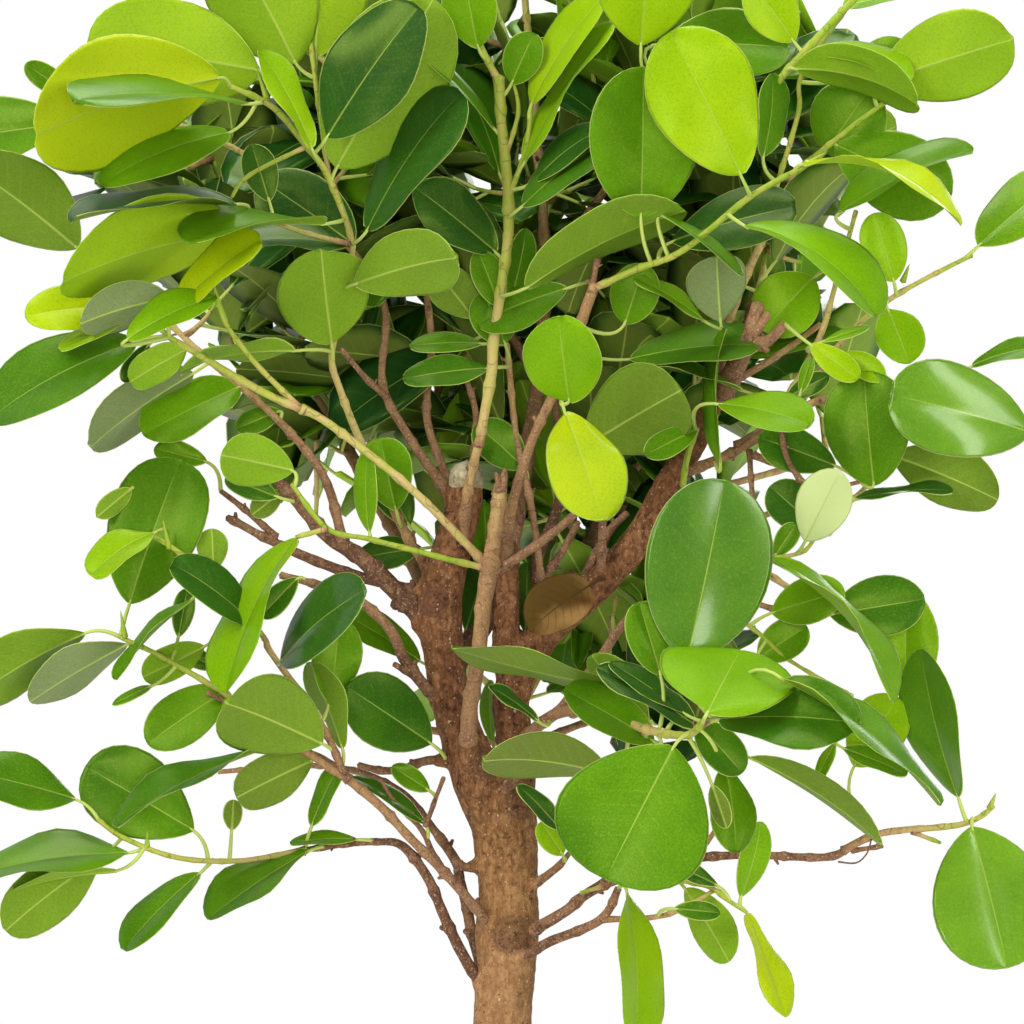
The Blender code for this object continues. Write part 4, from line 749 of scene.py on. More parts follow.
def leaf_material(name, kind="outer"):
    """A leathery leaf: glossy above, matt below, with a pale margin, midrib and fine side veins.

    An outer leaf is finely speckled and lets light through; an inner one is plainer; a dried one is brown."""
    board = Board(name)
    across, along, half = board.value("blade")
    tone, under, chance = board.value("looks")
    mottle, patch = board.noise(70.0, 1.5), board.noise(22.0, 0.0)
    from_rib = abs(across) * half
    from_edge = (1.0 - abs(across)) * half
    rib_width = 0.00055 - along * 0.00035 + under * 0.0002
    rib = (1.0 - (from_rib / rib_width).step(0.35, 1.25)) * (along - under).step(1.02, 0.72)
    veins = (along * 9.0 - abs(across) * 2.2 + chance * 3.0).wave() ** 9.0 * abs(across).step(1.0, 0.5)
    edge = 1.0 - from_edge.step(0.00018, 0.00062)
    rough = 0.31 + under * 0.24 + (mottle - 0.5) * 0.12
    if kind == "dried":
        rough = rough + 0.3
        colour = board.ramp(mottle + (patch - 0.5) * 0.8, (0.3, (0.075, 0.026, 0.008)), (0.62, (0.27, 0.135, 0.048)))
        colour = board.blend(veins * 0.7, colour, (0.035, 0.015, 0.008))
        colour = board.blend(rib, colour, (0.05, 0.022, 0.01))
    else:
        shade = tone + (mottle - 0.5) * 0.14 + (patch - 0.5) * 0.16 + (chance - 0.5) * 0.06 + (0.5 - along) * 0.06
        above = board.ramp(shade, (0.0, (0.010, 0.062, 0.010)), (0.18, (0.022, 0.110, 0.005)),
                           (0.42, (0.100, 0.260, 0.003)), (0.62, (0.190, 0.410, 0.003)),
                           (0.82, (0.340, 0.540, 0.003)), (1.0, (0.57, 0.67, 0.004)))
        below = board.blend(0.44 - tone * 0.3, above, (0.33, 0.38, 0.06))
        below = board.blend(tone.step(-0.02, -0.1) * 0.8, below, (0.21, 0.27, 0.12))
        colour = board.blend(under, above, below)
        colour = board.blend(veins * (0.04 + under * 0.07), colour, (0.46, 0.54, 0.08))
        if kind == "outer":
            pores = board.noise(1300.0, 1.0)
            colour = board.blend(pores.step(0.50, 0.72) * (0.08 + tone * 0.12), colour, (0.50, 0.60, 0.05))
            colour = board.blend(pores.step(0.50, 0.30) * 0.22, colour, (0.02, 0.06, 0.008))
            colour = board.blend(tone.step(1.2, 1.5) * 0.8, colour, (0.84, 0.88, 0.50))
        colour = board.blend(rib * (0.45 + under * 0.3), colour, (0.46, 0.56, 0.10))
        colour = board.blend(edge * 0.75, colour, (0.62, 0.70, 0.18))
    relief = mottle * 0.3 - veins * 0.16 + rib * (under * 2.0 - 1.0) * 0.6
    board.finish(Base_Color=colour, Roughness=rough, Specular_IOR_Level=0.4, Specular_Tint=(0.80, 1.0, 0.16),
                 Coat_Weight=chance.step(DULL_MOST, 0.96) * (1.0 - under), Coat_Roughness=0.16,
                 Coat_IOR=1.42, Normal=board.bump(relief, 0.35, 0.0005))
    if kind == "outer":
        board.let_light_through((0.42, 0.62, 0.01), 0.10 + tone * 0.22)
    return board.material


def twig_material(name):
    """Young wood: green near its tip, tan and faintly striped further back, brown, rough and dotted where old."""
    board = Board(name)
    age, along, _ = board.value("grain")
    fibre, patch, grit = board.noise(420.0, 3.0, (1.0, 1.0, 0.4)), board.noise(60.0, 2.0), board.noise(1100.0)
    colour = board.ramp(age + (fibre - 0.5) * 0.5 + (patch - 0.5) * 0.45, (0.0, (0.24, 0.36, 0.015)),
                        (0.22, (0.40, 0.41, 0.06)), (0.42, (0.52, 0.38, 0.14)), (0.62, (0.36, 0.20, 0.080)),
                        (0.80, (0.270, 0.140, 0.068)), (0.92, (0.215, 0.105, 0.052)), (1.0, (0.122, 0.052, 0.027)))
    joints = (along * 52.0 + (patch - 0.5) * 5.0).wave() ** 22.0
    colour = board.blend(joints * 0.55, colour, (0.09, 0.042, 0.018))
    colour = board.blend(grit.step(0.54, 0.70) * age * 0.45, colour, (0.50, 0.36, 0.20))
    colour = board.blend(grit.step(0.46, 0.32) * age * 0.55, colour, (0.045, 0.020, 0.010))
    pale = board.dots(600.0, 0.26, share=0.5) * age.step(0.3, 0.7)
    colour = board.blend(pale * 0.65, colour, (0.62, 0.44, 0.26))
    relief = fibre * 0.7 + joints * 0.6 + pale * 0.5 + grit * 0.3
    return board.finish(Base_Color=colour, Roughness=0.8 - (1.0 - age) * 0.25, Specular_IOR_Level=0.25,
                        Normal=board.bump(relief, 0.6, 0.0008))


def bark_material(name):
    """Fig bark: tan low down, redder above, dark round the knots, with pale lenticels and level rows of dark pores."""
    board = Board(name)
    height = board.place.parts()[2]
    broad, grit = board.noise(34.0, 4.0), board.noise(1300.0)
    streak = board.noise(150.0, 5.0, (1.0, 1.0, 0.12))
    grain = board.noise(420.0, 8.0, (1.0, 1.0, 0.6), 0.6, 0.72)
    level = board.noise(95.0, 4.0, (0.5, 0.5, 3.6))
    mixed = 0.5 + (grain - 0.5) * (0.65 + height.step(0.44, 0.50) * 0.25) + (broad - 0.5) * 0.3 + (streak - 0.5) * 0.3
    low, middle, high = (board.ramp(mixed, (0.32, dark), (0.50, plain), (0.70, pale)) for dark, plain, pale in (
        ((0.12, 0.054, 0.019), (0.335, 0.166, 0.066), (0.59, 0.34, 0.155)),
        ((0.060, 0.026, 0.008), (0.250, 0.116, 0.040), (0.50, 0.275, 0.115)),
        ((0.040, 0.015, 0.006), (0.190, 0.078, 0.030), (0.42, 0.20, 0.090))))
    shift = height + (broad - 0.5) * 0.06 + (level - 0.5) * 0.03
    colour = board.blend(shift.step(0.48, 0.54), board.blend(shift.step(0.435, 0.465), low, middle), high)
    for place, size in KNOTS:
        from_knot = board.node("ShaderNodeVectorMath", {"operation": "DISTANCE"}, {0: board.place, 1: place}, "Value")
        from_knot = from_knot + (grain - 0.5) * 0.004
        near = from_knot.step(size * 1.3, size * 0.8)
        colour = board.blend(near * 0.6, colour, (0.15, 0.070, 0.034))
        rings = (from_knot * 520.0).wave() ** 3.0
        colour = board.blend(near * rings * 0.55, colour, (0.045, 0.020, 0.010))
    pores = board.dots(620.0, 0.26, (1.0, 1.0, 1.5), 0.6) * level.step(0.48, 0.58)
    cracks = level.step(0.60, 0.66) * grain.step(0.46, 0.40) * height.step(0.43, 0.47) * 0.7
    colour = board.blend((pores + cracks) * 0.85, colour, (0.035, 0.016, 0.008))
    pale = board.dots(520.0, 0.24, share=0.45) + board.dots(230.0, 0.16, (1.0, 1.0, 0.8), 0.5)
    colour = board.blend(pale * 0.7, colour, (0.66, 0.46, 0.27))
    relief = grain * 0.8 + level * 0.5 + pale * 0.5 + grit * 0.4 - (pores + cracks) * 0.8
    return board.finish(Base_Color=colour, Roughness=0.85 + (grit - 0.5) * 0.2, Specular_IOR_Level=0.2,
                        Normal=board.bump(relief, 0.9, 0.0014))


def clay_material(name):
    """Terracotta with throwing rings, lime bloom and fine speckle."""
    board = Board(name)
    height = board.place.parts()[2]
    cloud, grit, rings = board.noise(14.0, 5.0), board.noise(380.0), board.noise(60.0, 3.0, (0.05, 0.05, 3.2))
    colour = board.ramp(cloud + (rings - 0.5) * 0.3, (0.3, (0.38, 0.145, 0.072)), (0.7, (0.60, 0.27, 0.15)))
    colour = board.blend(cloud.step(0.52, 0.70) * (0.6 - height * 2.0), colour, (0.70, 0.52, 0.42))
    colour = board.blend(board.dots(520.0, 0.15) * 0.4, colour, (0.26, 0.10, 0.05))
    return board.finish(Base_Color=colour, Roughness=0.82 + (grit - 0.5) * 0.15,
                        Normal=board.bump(rings * 0.8 + grit * 0.25, 0.5, 0.001))


def sawn_material(name):
    """Weathered end grain."""
    board = Board(name)
    grit, ring = board.noise(700.0, 4.0), board.noise(170.0)
    colour = board.ramp(ring + (grit - 0.5) * 0.7, (0.25, (0.20, 0.155, 0.085)), (0.72, (0.56, 0.48, 0.30)))
    return board.finish(Base_Color=colour, Roughness=0.9, Normal=board.bump(grit, 0.5, 0.0006))


def soil_material(name, dark, pale):
    board = Board(name)
    grit, lump = board.noise(300.0, 5.0), board.noise(60.0)
    colour = board.ramp(grit + (lump - 0.5) * 0.7, (0.32, dark), (0.75, pale))
    return board.finish(Base_Color=colour, Roughness=0.93, Normal=board.bump(grit + lump, 0.8, 0.002))


# ---------------------------------------------------------------- leaves
def blade_normal(axis, share, side):
    """The upper side's direction for a blade along axis that shows share of its width to EYE."""
    across = axis.cross(TOWARDS_EYE).normalized()
    if across.z + 0.3 * across.x * math.copysign(1.0, axis.x) < 0.0:
        across.negate()
    normal = TOWARDS_EYE * share * side + across * math.sqrt(1.0 - share * share)
    return (normal - axis * normal.dot(axis)).normalized()


def add_blade(growth, base, tip, width, normal, arch, tone, rng, rows, crease=None, chance=None):
    """A closed leathery blade from its base to its tip: each half puffs up a little beside the folded midrib."""
    across = COARSE_ACROSS if rows == SPRAY_ROWS else FINE_ACROSS
    length = (tip - base).length
    middle = (base + tip) / 2 + normal * length * arch
    broad_at, blunt = rng.uniform(0.60, 0.78), rng.uniform(0.44, 0.56)
    peak = broad_at / (broad_at + blunt)
    most = peak**broad_at * (1.0 - peak)**blunt
    curl, twist = rng.uniform(-0.08, 0.10), rng.uniform(-0.25, 0.25)
    puff = rng.uniform(0.02, 0.07)
    crease = rng.uniform(0.02, 0.05) + arch * 1.4 if crease is None else crease
    droop = rng.uniform(-0.02, 0.07) * length
    ripple, phase = rng.uniform(0.0, 0.035) * length, rng.uniform(0.0, math.tau)
    chance = rng.uniform(0.0, DULL_MOST) if chance is None else chance
    top, bottom, places = [], [], []
    for row in range(1, rows):
        s = 0.5 - 0.5 * math.cos(math.pi * row / rows)
        place, ahead = arc(base, middle, tip, s)
        up = (normal - ahead * normal.dot(ahead)).normalized()
        up = Matrix.Rotation(twist * (s - 0.4), 3, ahead) @ up
        side = ahead.cross(up)
        half = 0.5 * width * s**broad_at * (1.0 - s)**blunt / most
        for q in across:
            lift = half * (crease * (math.hypot(q, 0.08) - 0.08) + curl * q * q + puff * math.sin(math.pi * q)**2)
            lift += ripple * abs(q)**3 * math.sin(phase + s * 9.0 + (2.0 if q > 0 else 0.0))
            sheet = LEAF_THICKNESS * (1.0 - q * q) ** 0.5 / 2
            groove = 0.0003 * max(0.0, 1.0 - abs(q) / 0.1) * (1.0 - s)
            centre = place + side * q * half + up * (lift - droop * s**3)
            top.append(centre + up * (sheet - groove))
            bottom.append(centre - up * (sheet + groove * 2.2))
            places.append((q, s, half))
    count, ranks, lower = len(across), rows - 1, len(top)
    start, end, last = 2 * lower, 2 * lower + 1, (ranks - 1) * count
    faces = []
    for rank in range(ranks - 1):
        for a in range(rank * count, rank * count + count - 1):
            faces.append((a, a + 1, a + count + 1, a + count))
            faces.append((lower + a, lower + a + count, lower + a + count + 1, lower + a + 1))
    for k in range(count - 1):
        faces += [(start, k + 1, k), (start, lower + k, lower + k + 1),
                  (last + k, last + k + 1, end), (lower + last + k + 1, lower + last + k, end)]
    # the two sheets share their rim
    rim = {lower + rank * count + k: rank * count + k for rank in range(ranks) for k in (0, count - 1)}
    faces = [tuple(rim.get(i, i) for i in face) for face in faces]
    used = sorted({i for face in faces for i in face})
    order = {old: new for new, old in enumerate(used)}
    points = top + bottom + [base, tip]
    blades = places * 2 + [(0.0, 0.0, 0.0002), (0.0, 1.0, 0.0002)]
    looks = [(tone, under, chance) for under, times in ((0.0, lower), (1.0, lower), (0.5, 2)) for _ in range(times)]
    growth.add([points[i] for i in used], [tuple(order[i] for i in face) for face in faces],
               [blades[i] for i in used], [looks[i] for i in used])


def add_stalk(growth, root, base, axis, tone):
    """A leaf stalk that leaves the wood at root and runs into the blade along its axis."""
    bend = base - axis * (base - root).length * 0.45
    path = [(arc(root, bend, base + axis * 0.002, s)[0], STALK_RADIUS * (1.25 - 0.45 * s)) for s in shares(8)]
    before = len(growth.points)
    tube(growth, path, 6, lambda run, radius, share: (0.0, 0.0, 0.0))
    growth.values[1].extend([(tone, 0.4, 0.5)] * (len(growth.points) - before))


class Wood:
    """The middle lines of all the plant's wood, to find where a leaf is held."""

    def __init__(self):
        self.heads, self.tails, self.radii = [], [], []

    def add(self, points):
        for (head, radius), (tail, _) in zip(points, points[1:]):
            self.heads.append(head)
            self.tails.append(tail)
            self.radii.append(radius)

    def nearest(self, place, depth_share=0.45):
        """The nearest point on the wood, with distances in depth counted at depth_share, and the radius there."""
        scale = np.array((1.0, depth_share, 1.0))
        heads, tails = np.array(self.heads) * scale, np.array(self.tails) * scale
        spot = np.array(place) * scale
        along = tails - heads
        share = np.clip(((spot - heads) * along).sum(1) / (along * along).sum(1), 0.0, 1.0)
        best = int(np.linalg.norm(spot - heads - along * share[:, None], axis=1).argmin())
        return Vector(self.heads[best]).lerp(Vector(self.tails[best]), float(share[best])), self.radii[best]


def add_leaf(growth, wood, base, tip, seen_width, tone, arch, rng, rows, glossy):
    """A listed leaf with its stalk; the blade is turned so that EYE sees seen_width of it."""
    base, tip, seen = placed(*base), placed(*tip), abs(seen_width) * CM
    length, axis = (tip - base).length, (tip - base).normalized()
    width = max(seen / MOST_SEEN, length * (0.6 if seen > NARROW else 0.42))
    normal = blade_normal(axis, min(seen / width, MOST_SEEN), math.copysign(1.0, seen_width))
    crease = rng.uniform(0.03, 0.09) + arch * 0.6 + 0.22 * max(0.0, 0.75 - seen / width)
    add_blade(growth, base, tip, width, normal, arch, tone, rng, rows, crease, GLOSSY_CHANCE if glossy else None)
    add_stalk(growth, wood.nearest(base - axis * 0.008)[0], base, axis, tone)


def inside_crown(place):
    offset = place - CROWN_CENTRE
    return sum((part / radius)**2 for part, radius in zip(offset, CROWN_RADII)) < 1.0 and place.z < CROWN_TOP


def hidden_enough(place, margin=0.0):
    """Whether a leaf grown by rule may stand there: behind the front leaves, and never in the open gaps."""
    offset, height, forward = read_back(place)
    if abs(offset) > FRONT_HALF or not FRONT_FOOT < height < FRONT_TOP:
        return abs(offset) < 25.0 and height > 50.0
    return forward <= -0.5 and any(
        ((offset - x) / (wide + margin))**2 + ((height - z) / (tall + margin))**2 < 1.0
        for x, z, wide, tall in REAR_ZONES)


def grow_spray(leaves, twigs, target, rng, wood, tone):
    """A leafy twig grown by rule from the nearest wood to a target, with leaves at the golden angle."""
    start, _ = wood.nearest(target, 1.0)
    reach = target - start
    if not SHORTEST_SPRAY < reach.length < LONGEST_SPRAY:
        return
    path = [(start + reach * s + UP * reach.length * 0.3 * (s * s - s), 0.0017 - 0.0008 * s) for s in shares(5)]
    if not all(hidden_enough(place, 0.5) for place, _ in path[2:]):
        return
    path = smooth_path(path, SPRAY_SPACING)
    held, turn = [], rng.uniform(0.0, math.tau)
    ahead = (path[-1][0] - path[-3][0]).normalized()
    count = max(4, round(reach.length / LEAF_GAP))
    for index in range(count):
        s = 0.3 + 0.7 * index / (count - 1)
        spot = path[round(s * (len(path) - 1))][0]
        turn += GOLDEN_TURN
        out = sideways(ahead, turn)
        aim = (out + ahead * rng.uniform(0.4, 1.0) + UP * rng.uniform(-0.2, 0.3)).normalized()
        if index == count - 1:
            aim = (ahead + out * 0.3).normalized()
        base = spot + aim * rng.uniform(0.008, 0.016)
        blade_length = rng.uniform(0.05, 0.075)
        tip = base + aim * blade_length
        if inside_crown(tip) and hidden_enough(tip, 0.8) and hidden_enough((base + tip) / 2):
            up = UP + ahead * rng.uniform(0.0, 0.6) + Vector((rng.uniform(-1, 1), rng.uniform(-1, 1), 0.0)) * 0.5
            normal = (up - aim * up.dot(aim)).normalized()
            held.append((spot, base, tip, aim, normal, blade_length * rng.uniform(0.56, 0.68)))
    if len(held) < 2:
        return
    wood.add(path)
    tube(twigs, path, 6, lambda run, radius, share: (0.75 - 0.65 * share, run, radius), 0.15, rng.random())
    for spot, base, tip, aim, normal, width in held:
        leaf_tone = min(max(tone + rng.gauss(0.0, 0.12), 0.0), 0.9)
        add_blade(leaves, base, tip, width, normal, rng.uniform(0.02, 0.12), leaf_tone, rng, SPRAY_ROWS)
        add_stalk(leaves, spot, base, aim, leaf_tone)


# ---------------------------------------------------------------- materials
leaf_green = leaf_material("leaf_green_looks")
leaf_dry = leaf_material("leaf_dried_looks", "dried")
leaf_inner = leaf_material("leaf_inner_looks", "inner")
twig_bark = twig_material("twig_looks")
trunk_bark = bark_material("bark_looks")
sawn_wood = sawn_material("sawn_wood_looks")
fired_clay = clay_material("fired_clay_looks")
potting_soil = soil_material("potting_soil_looks", (0.022, 0.014, 0.010), (0.095, 0.065, 0.045))
bark_chips = soil_material("bark_chip_looks", (0.05, 0.026, 0.016), (0.21, 0.135, 0.09))

# ---------------------------------------------------------------- pot and soil
POT_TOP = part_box("pot")[1].z
LIP, COLLAR_HEIGHT = 0.0055, 0.034
COLLAR_FOOT = POT_TOP - COLLAR_HEIGHT
NECK, FOOT, COLLAR, MOUTH = 0.097, 0.076, 0.105, 0.0937
WELL, WELL_FLOOR, WELL_SIDE, BEVEL = 0.0695, 0.010, 0.014, 0.004
# the well's lowest ring is doubled, which keeps its edge crisp
pot_profile = [(0.0, WELL_FLOOR), (WELL - 0.002, WELL_FLOOR), (WELL, WELL_SIDE)]
pot_profile += [(WELL + (MOUTH - WELL) * s, WELL_SIDE + (POT_TOP - BEVEL - WELL_SIDE) * s)
                for s in shares(24)]
pot_profile += [(0.0992 - LIP * math.cos(turn), POT_TOP - LIP + LIP * math.sin(turn))
                for turn in (math.pi * step / 6 for step in range(7))]
pot_profile += [(COLLAR + 0.0003 * math.sin(s * 18.0), POT_TOP - LIP - (COLLAR_HEIGHT - 0.0085) * s)
                for s in shares(9, 1, 8)]
pot_profile += [(COLLAR, COLLAR_FOOT + 0.003), (COLLAR - 0.001, COLLAR_FOOT + 0.001), (COLLAR - 0.003, COLLAR_FOOT),
                (NECK + 0.001, COLLAR_FOOT), (NECK, COLLAR_FOOT - 0.001)]
pot_profile += [(NECK + (FOOT - NECK) * s + (0.00022 * math.sin(s * 95.0) + 0.0002 * math.sin(s * 37.0)),
                 (COLLAR_FOOT - 0.001) * (1.0 - s) + BEVEL * s) for s in shares(40, 1, 39)]
pot_profile += [(FOOT, BEVEL), (FOOT - 0.001, 0.001), (FOOT - BEVEL, 0.0), (0.0, 0.0)]
pot = turned("fired_pot", pot_profile, 96, fired_clay)
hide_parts("pot")

SOIL_RADIUS, SOIL_TOP, SOIL_FLOOR = 0.0905, 0.1715, 0.0115
soil_profile = [(0.0, SOIL_TOP)] + [(SOIL_RADIUS * s, SOIL_TOP - 0.0055 * s**2) for s in shares(40, 1)]
soil_profile += [(SOIL_RADIUS, 0.160), (0.0675, SOIL_FLOOR), (0.0, SOIL_FLOOR)]
soil = turned("soil_bed", soil_profile, 120, potting_soil)
displaced(soil.data, lambda co: 0.0 if co.z < 0.16 or co.xy.length > 0.089 else
          0.0016 * noise.noise(co * 130.0) + 0.0010 * noise.noise(co * 330.0))
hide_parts("soil")


def scattered(name, **given):
    """Crumbs scattered over the ground's upper faces with Geometry Nodes; given is the node group's inputs."""
    tree = bpy.data.node_groups.new(name, "GeometryNodeTree")
    kinds = dict(Ground="Object", Crumb="Object", Density="Float", Smallest="Float", Largest="Float", Seed="Int",
                 Material="Material")
    identifiers = {label: tree.interface.new_socket(label, in_out="INPUT", socket_type="NodeSocket" + kind).identifier
                   for label, kind in kinds.items()}
    tree.interface.new_socket("Geometry", in_out="OUTPUT", socket_type="NodeSocketGeometry")

    def node(kind, settings, sockets, output=0):
        """A new node of a kind, with its settings, then its sockets' values or links; gives one of its outputs."""
        made = tree.nodes.new(kind)
        for key, setting in settings.items():
            setattr(made, key, setting)
        usable = [socket for socket in made.inputs if socket.enabled]
        for key, source in sockets.items():
            target = usable[key] if isinstance(key, int) else made.inputs[key]
            if isinstance(source, bpy.types.NodeSocket):
                tree.links.new(source, target)
            else:
                target.default_value = source
        return [socket for socket in made.outputs if socket.enabled][output] if made.outputs else made

    def part(kind, index):
        return node("ShaderNodeSeparateXYZ", {}, {0: node(kind, {}, {})}, index)

    def over(value, limit):
        return node("FunctionNodeCompare", {"operation": "GREATER_THAN"}, {0: value, 1: limit})

    inputs = tree.nodes.new("NodeGroupInput").outputs
    upper = node("FunctionNodeBooleanMath", {}, {0: over(part("GeometryNodeInputNormal", 2), 0.5),
                                                 1: over(part("GeometryNodeInputPosition", 2), 0.15)})
    area, shape = (node("GeometryNodeObjectInfo", {}, {"Object": inputs[label]}).node.outputs["Geometry"]
                   for label in ("Ground", "Crumb"))
    spots = node("GeometryNodeDistributePointsOnFaces", {}, {
        "Mesh": area, "Selection": upper, "Density": inputs["Density"], "Seed": inputs["Seed"]})
    turn = node("FunctionNodeRandomValue", {"data_type": "FLOAT_VECTOR"}, {
        "Max": (math.tau, math.tau, math.tau), "Seed": inputs["Seed"]})
    size = node("FunctionNodeRandomValue", {"data_type": "FLOAT"}, {
        0: inputs["Smallest"], 1: inputs["Largest"], "Seed": inputs["Seed"]})
    spread = node("GeometryNodeInstanceOnPoints", {}, {
        "Points": spots, "Instance": shape, "Rotation": turn, "Scale": size})
    solid = node("GeometryNodeRealizeInstances", {}, {"Geometry": spread})
    coloured = node("GeometryNodeSetMaterial", {}, {"Geometry": solid, "Material": inputs["Material"]})
    node("NodeGroupOutput", {}, {"Geometry": coloured})

    carrier = linked(name, bpy.data.meshes.new(name))
    scatter = carrier.modifiers.new("scatter", "NODES")
    scatter.node_group = tree
    for label, item in given.items():
        scatter[identifiers[label]] = item
    mesh = evaluated(carrier)
    bpy.data.objects.remove(carrier)
    mesh.shade_flat()
    return shown(name, mesh, given["Material"])


def crumb_shape(name, stretch):
    shape = bmesh.new()
    bmesh.ops.create_icosphere(shape, subdivisions=1, radius=1.0)
    for vertex in shape.verts:
        vertex.co = vertex.co * Vector(stretch)
        vertex.co *= 1.0 + 0.3 * noise.noise(vertex.co * 3.1)
    return linked(name, mesh_of(name, shape))


for name, stretch, density, smallest, largest, seed, material in (
        ("soil_crumbs", (1.0, 0.85, 0.7), 60000.0, 0.0006, 0.0017, 3, potting_soil),
        ("soil_chips", (1.0, 0.6, 0.25), 9000.0, 0.0015, 0.0042, 8, bark_chips)):
    crumb = crumb_shape(name + "_shape", stretch)
    crumbs = scattered(name, Ground=soil, Crumb=crumb, Density=density, Smallest=smallest, Largest=largest,
                       Seed=seed, Material=material)
    bpy.data.objects.remove(crumb)

# ---------------------------------------------------------------- trunk
wood = Wood()
rough_wood = Growth("grain")
for run in TRUNK_RUNS:
    points = traced(run)
    wood.add(points)
    tube(rough_wood, smooth_path(points, 0.004), 28, old_bark, 0.05, 1.3)
for index in range(ROOT_COUNT):
    turn = math.tau * (index + 0.3) / ROOT_COUNT
    points = [(Vector((math.cos(turn) * out, math.sin(turn) * out, height)), radius)
              for out, height, radius in ROOT_STEPS]
    tube(rough_wood, smooth_path(points, 0.003), 18, old_bark, 0.08, index)
for runs in STEMS.values():
    for _, _, run in runs:
        (start, radius), (after, _) = traced(run[:2])
        root, thickness = wood.nearest(start, 1.0)
        depth = thickness - (start - root).length
        if depth > -0.002 and radius < thickness * 0.8:
            ahead = (after - start).normalized()
            depth = max(depth, 0.001) * 1.2
            collar = [(start + ahead * rise, radius * swell) for rise, swell in (
                (-0.003, 1.5), (depth, 1.4), (depth + 0.002, 1.15), (depth + 0.005, 0.85))]
            tube(rough_wood, smooth_path(collar, 0.002), 16, old_bark, 0.08, radius * 900)
burl = [(placed(0.3, 45.1, 0.0), 0.010), (placed(0.3, 45.1, 1.3), 0.0085), (placed(0.3, 45.05, 1.62), 0.006)]
tube(rough_wood, burl, 20, old_bark, 0.15, 2.0)
trunk = rough_wood.made("trunk_wood", trunk_bark)
melt = trunk.modifiers.new("remesh", "REMESH")
melt.mode, melt.voxel_size, melt.adaptivity = "VOXEL", TRUNK_VOXEL, 0.0
soften = trunk.modifiers.new("smooth", "SMOOTH")
soften.factor, soften.iterations = 0.5, 5
trunk.data = evaluated(trunk)
displaced(trunk.data, lambda co: 0.00045 * noise.noise(Vector((co.x * 90.0, co.y * 90.0, co.z * 28.0)))
          + 0.00028 * noise.noise(Vector((co.x * 60.0, co.y * 60.0, co.z * 330.0)))
          + 0.0002 * noise.noise(co * 420.0))
trunk.data.shade_smooth()
trunk.data.materials.clear()
trunk.data.materials.append(trunk_bark)
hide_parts("trunk")

# the sawn end of the left leader, weathered to a low dome
sawn = Growth("grain")
saw_at = placed(-1.78, 65.25, 0.1)
saw_tilt = Vector((0.06, -0.12, 1.0)).normalized()
dome = [(saw_at + saw_tilt * rise, radius) for rise, radius in
        ((-0.004, 0.0074), (0.0, 0.0079), (0.0035, 0.0078), (0.0065, 0.0068), (0.0090, 0.0050), (0.0103, 0.0022))]
tube(sawn, dome, 36, old_bark, 0.10, 4.0)
sawn.made("sawn_end", sawn_wood)


# ---------------------------------------------------------------- stems, shoots and boughs
def grow_stem(stems, first_age, last_age, run, rng):
    """A stem with swollen joints, and short snags where it is old; it turns to bark where it leaves the wood."""
    points = traced(run)
    on_wood = (points[0][0] - wood.nearest(points[0][0], 1.0)[0]).length < 0.008
    wood.add(points)
    path = smooth_path(points, STEM_SPACING)
    sides = 18 if points[0][1] > 0.003 else 12
    joints, reach = [], rng.uniform(0.006, 0.016)
    while reach < len(path) * STEM_SPACING:
        joints.append((reach, rng.uniform(0.12, 0.38)))
        reach += rng.uniform(0.010, 0.024)
    knobbly, length = [], 0.0
    for index, (place, radius) in enumerate(path):
        if index:
            length += (place - path[index - 1][0]).length
        grown = 1.0 + sum(swell * math.exp(-((length - joint) / 0.0016)**2) for joint, swell in joints)
        grown += 0.4 * math.exp(-length / 0.0025) if on_wood else 0.0
        knobbly.append((place, radius * grown))
    young = 0.9 - first_age if on_wood else 0.0

    def grain(run, radius, share):
        age = first_age + (last_age - first_age) * share + young * math.exp(-run / 0.004)
        return age, run, radius / (radius + 0.002)

    tube(stems, knobbly, sides, grain, 0.12, rng.uniform(0.0, 9.0))
    for joint, swell in joints:
        index = min(round(joint / STEM_SPACING), len(knobbly) - 2)
        place, radius = knobbly[index]
        ahead = (knobbly[index + 1][0] - place).normalized()
        out = sideways(ahead, rng.uniform(0.0, math.tau))
        aim, reach = (out + ahead * 0.6).normalized(), rng.uniform(0.001, 0.0028)
        if first_age > 0.7 and swell > 0.29:
            snag = [(place, radius * 0.6), (place + aim * (radius + reach * 0.3), radius * 0.42),
                    (place + aim * (radius + reach), radius * 0.3)]
            tube(stems, snag, 8, lambda run, radius, share: (first_age, 0.0096, 0.4), 0.2, swell * 90)


rng = random.Random(20)
for name, runs in STEMS.items():
    stems = Growth("grain")
    for first_age, last_age, run in runs:
        grow_stem(stems, first_age, last_age, run, rng)
    piece = stems.made(name + "_wood", twig_bark)
    if name in NODES:
        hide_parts(name)

buds = Growth("grain")
for base, tip in BUDS:
    base, tip = placed(*base), placed(*tip)
    path = [(base.lerp(tip, s), 0.0014 * (1.0 - s) ** 0.8 + 0.0001) for s in (0.0, 0.15, 0.3, 0.5, 0.7, 0.85, 1.0)]
    tube(buds, path, 8, lambda run, radius, share: (0.05, run, radius))
buds.made("terminal_buds", twig_bark)
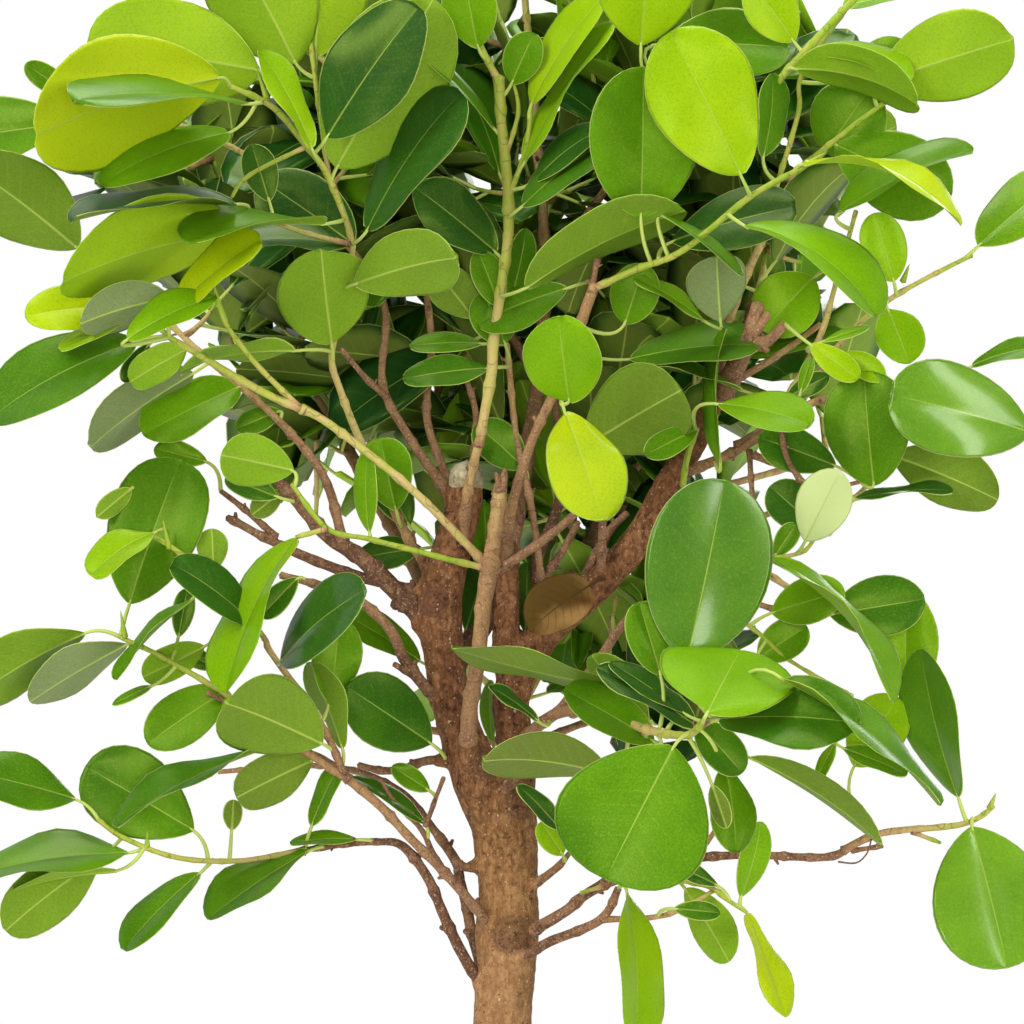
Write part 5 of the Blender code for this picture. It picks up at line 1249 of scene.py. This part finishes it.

# ---------------------------------------------------------------- leaves listed one by one
rng = random.Random(11)
groups = {}
for group_name, rows in LEAVES.items():
    for row in rows:
        node_name, row = (row[0], row[1:]) if isinstance(row[0], str) else (None, row)
        bx, bz, bf, tx, tz, tf, seen_width, tone, arch = row
        growth = grown_leaves() if node_name else groups.setdefault(group_name, grown_leaves())
        add_leaf(growth, wood, (bx, bz, bf), (tx, tz, tf), seen_width, tone, arch, rng,
                 NODE_ROWS if node_name else GROUP_ROWS, node_name in GLOSSY)
        if node_name:
            leaf = growth.made(node_name + "_blade", leaf_green)
            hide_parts(node_name)
            "leaf_lime" if tone > 0.65 else "leaf_green"
for group_name, growth in groups.items():
    growth.made("foliage_" + group_name, leaf_green)

dried = grown_leaves()
base, tip = (placed(*end) for end in DRIED_LEAF)
add_blade(dried, base, tip, 0.026, (TOWARDS_EYE + UP * 0.4).normalized(), 0.2, 0.0, rng, DRIED_ROWS, 0.5)
add_stalk(dried, wood.nearest(base)[0], base, (tip - base).normalized(), 0.0)
dried.made("dried_leaf", leaf_dry)

# ---------------------------------------------------------------- leafy twigs behind and above, grown by rule
rng = random.Random(5)
targets = []
while len(targets) < SPRAY_TARGETS:
    target = CROWN_CENTRE + Vector((rng.uniform(-0.24, 0.24), rng.uniform(-0.18, 0.18), rng.uniform(-0.18, 0.23)))
    if inside_crown(target) and hidden_enough(target):
        targets.append(target)
targets.sort(key=lambda target: (target - CROWN_CENTRE).length)
fills = {side: (grown_leaves(), Growth("grain")) for side in ("inner", "left", "right", "top")}
for target in targets:
    _, height, forward = read_back(target)
    inner = forward > -9.0 and height < 82.0
    side = "inner" if inner else "top" if height > 84.0 else "left" if target.x < 0.0 else "right"
    # sprays inside the crown get darker leaves: painted shade, standing in for the shade the crown casts there
    tone = rng.uniform(0.0, 0.3) if inner else rng.uniform(0.2, 0.65)
    grow_spray(*fills[side], target, rng, wood, tone)
for side, (leaves, sprays) in fills.items():
    leaves.made("foliage_" + side + "_fill", leaf_inner)
    sprays.made("sprays_" + side, twig_bark)

# ---------------------------------------------------------------- floor, light and camera
disc = bmesh.new()
bmesh.ops.create_circle(disc, cap_ends=True, segments=96, radius=1.55)
floor = linked("floor", mesh_of("floor", disc))
floor.data.materials.append(Board("pale_floor").finish(Base_Color=(0.82, 0.82, 0.81), Roughness=0.7))
floor.location.z = -0.0005

for name, place, aim_height, width, depth, watts in (
        ("key", (-1.6, -1.8, 2.0), 0.65, 1.2, 1.6, 52.0), ("front", (0.2, -2.9, 0.75), 0.62, 0.9, 0.9, 25.0),
        ("side", (1.8, -1.3, 1.2), 0.65, 0.5, 1.6, 22.0), ("overhead", (0.0, 0.3, 2.3), 0.65, 1.5, 1.5, 34.0),
        ("back", (0.6, 1.8, 1.2), 0.65, 1.0, 1.0, 14.0)):
    light = bpy.data.lights.new(name, "AREA")
    light.shape = "RECTANGLE"
    light.size, light.size_y, light.energy = width, depth, watts
    lamp = linked(name, light)
    lamp.location = place
    lamp.rotation_euler = (Vector((0.0, 0.0, aim_height)) - Vector(place)).to_track_quat("-Z", "Y").to_euler()

world = bpy.data.worlds.new("studio")
bpy.context.scene.world = world
world.use_nodes = True
sky = world.node_tree
surroundings = sky.nodes["Background"]
surroundings.inputs["Color"].default_value = (0.50, 0.51, 0.52, 1.0)
seen_white = sky.nodes.new("ShaderNodeBackground")
seen_white.inputs["Color"].default_value = (1.0, 1.0, 1.0, 1.0)
mixed = sky.nodes.new("ShaderNodeMixShader")
for source, socket in ((sky.nodes.new("ShaderNodeLightPath").outputs["Is Camera Ray"], mixed.inputs[0]),
                       (surroundings.outputs[0], mixed.inputs[1]), (seen_white.outputs[0], mixed.inputs[2]),
                       (mixed.outputs[0], sky.nodes["World Output"].inputs["Surface"])):
    sky.links.new(source, socket)
bpy.context.scene.view_settings.view_transform = "Standard"

camera = bpy.data.cameras.new("camera")
camera.sensor_width = 36.0
camera.lens = camera.sensor_width * -EYE.y / VIEW_WIDTH
camera.clip_start = 0.05
viewer = linked("camera", camera)
viewer.location = EYE
viewer.rotation_euler = (math.radians(90.0), 0.0, 0.0)
bpy.context.scene.camera = viewer
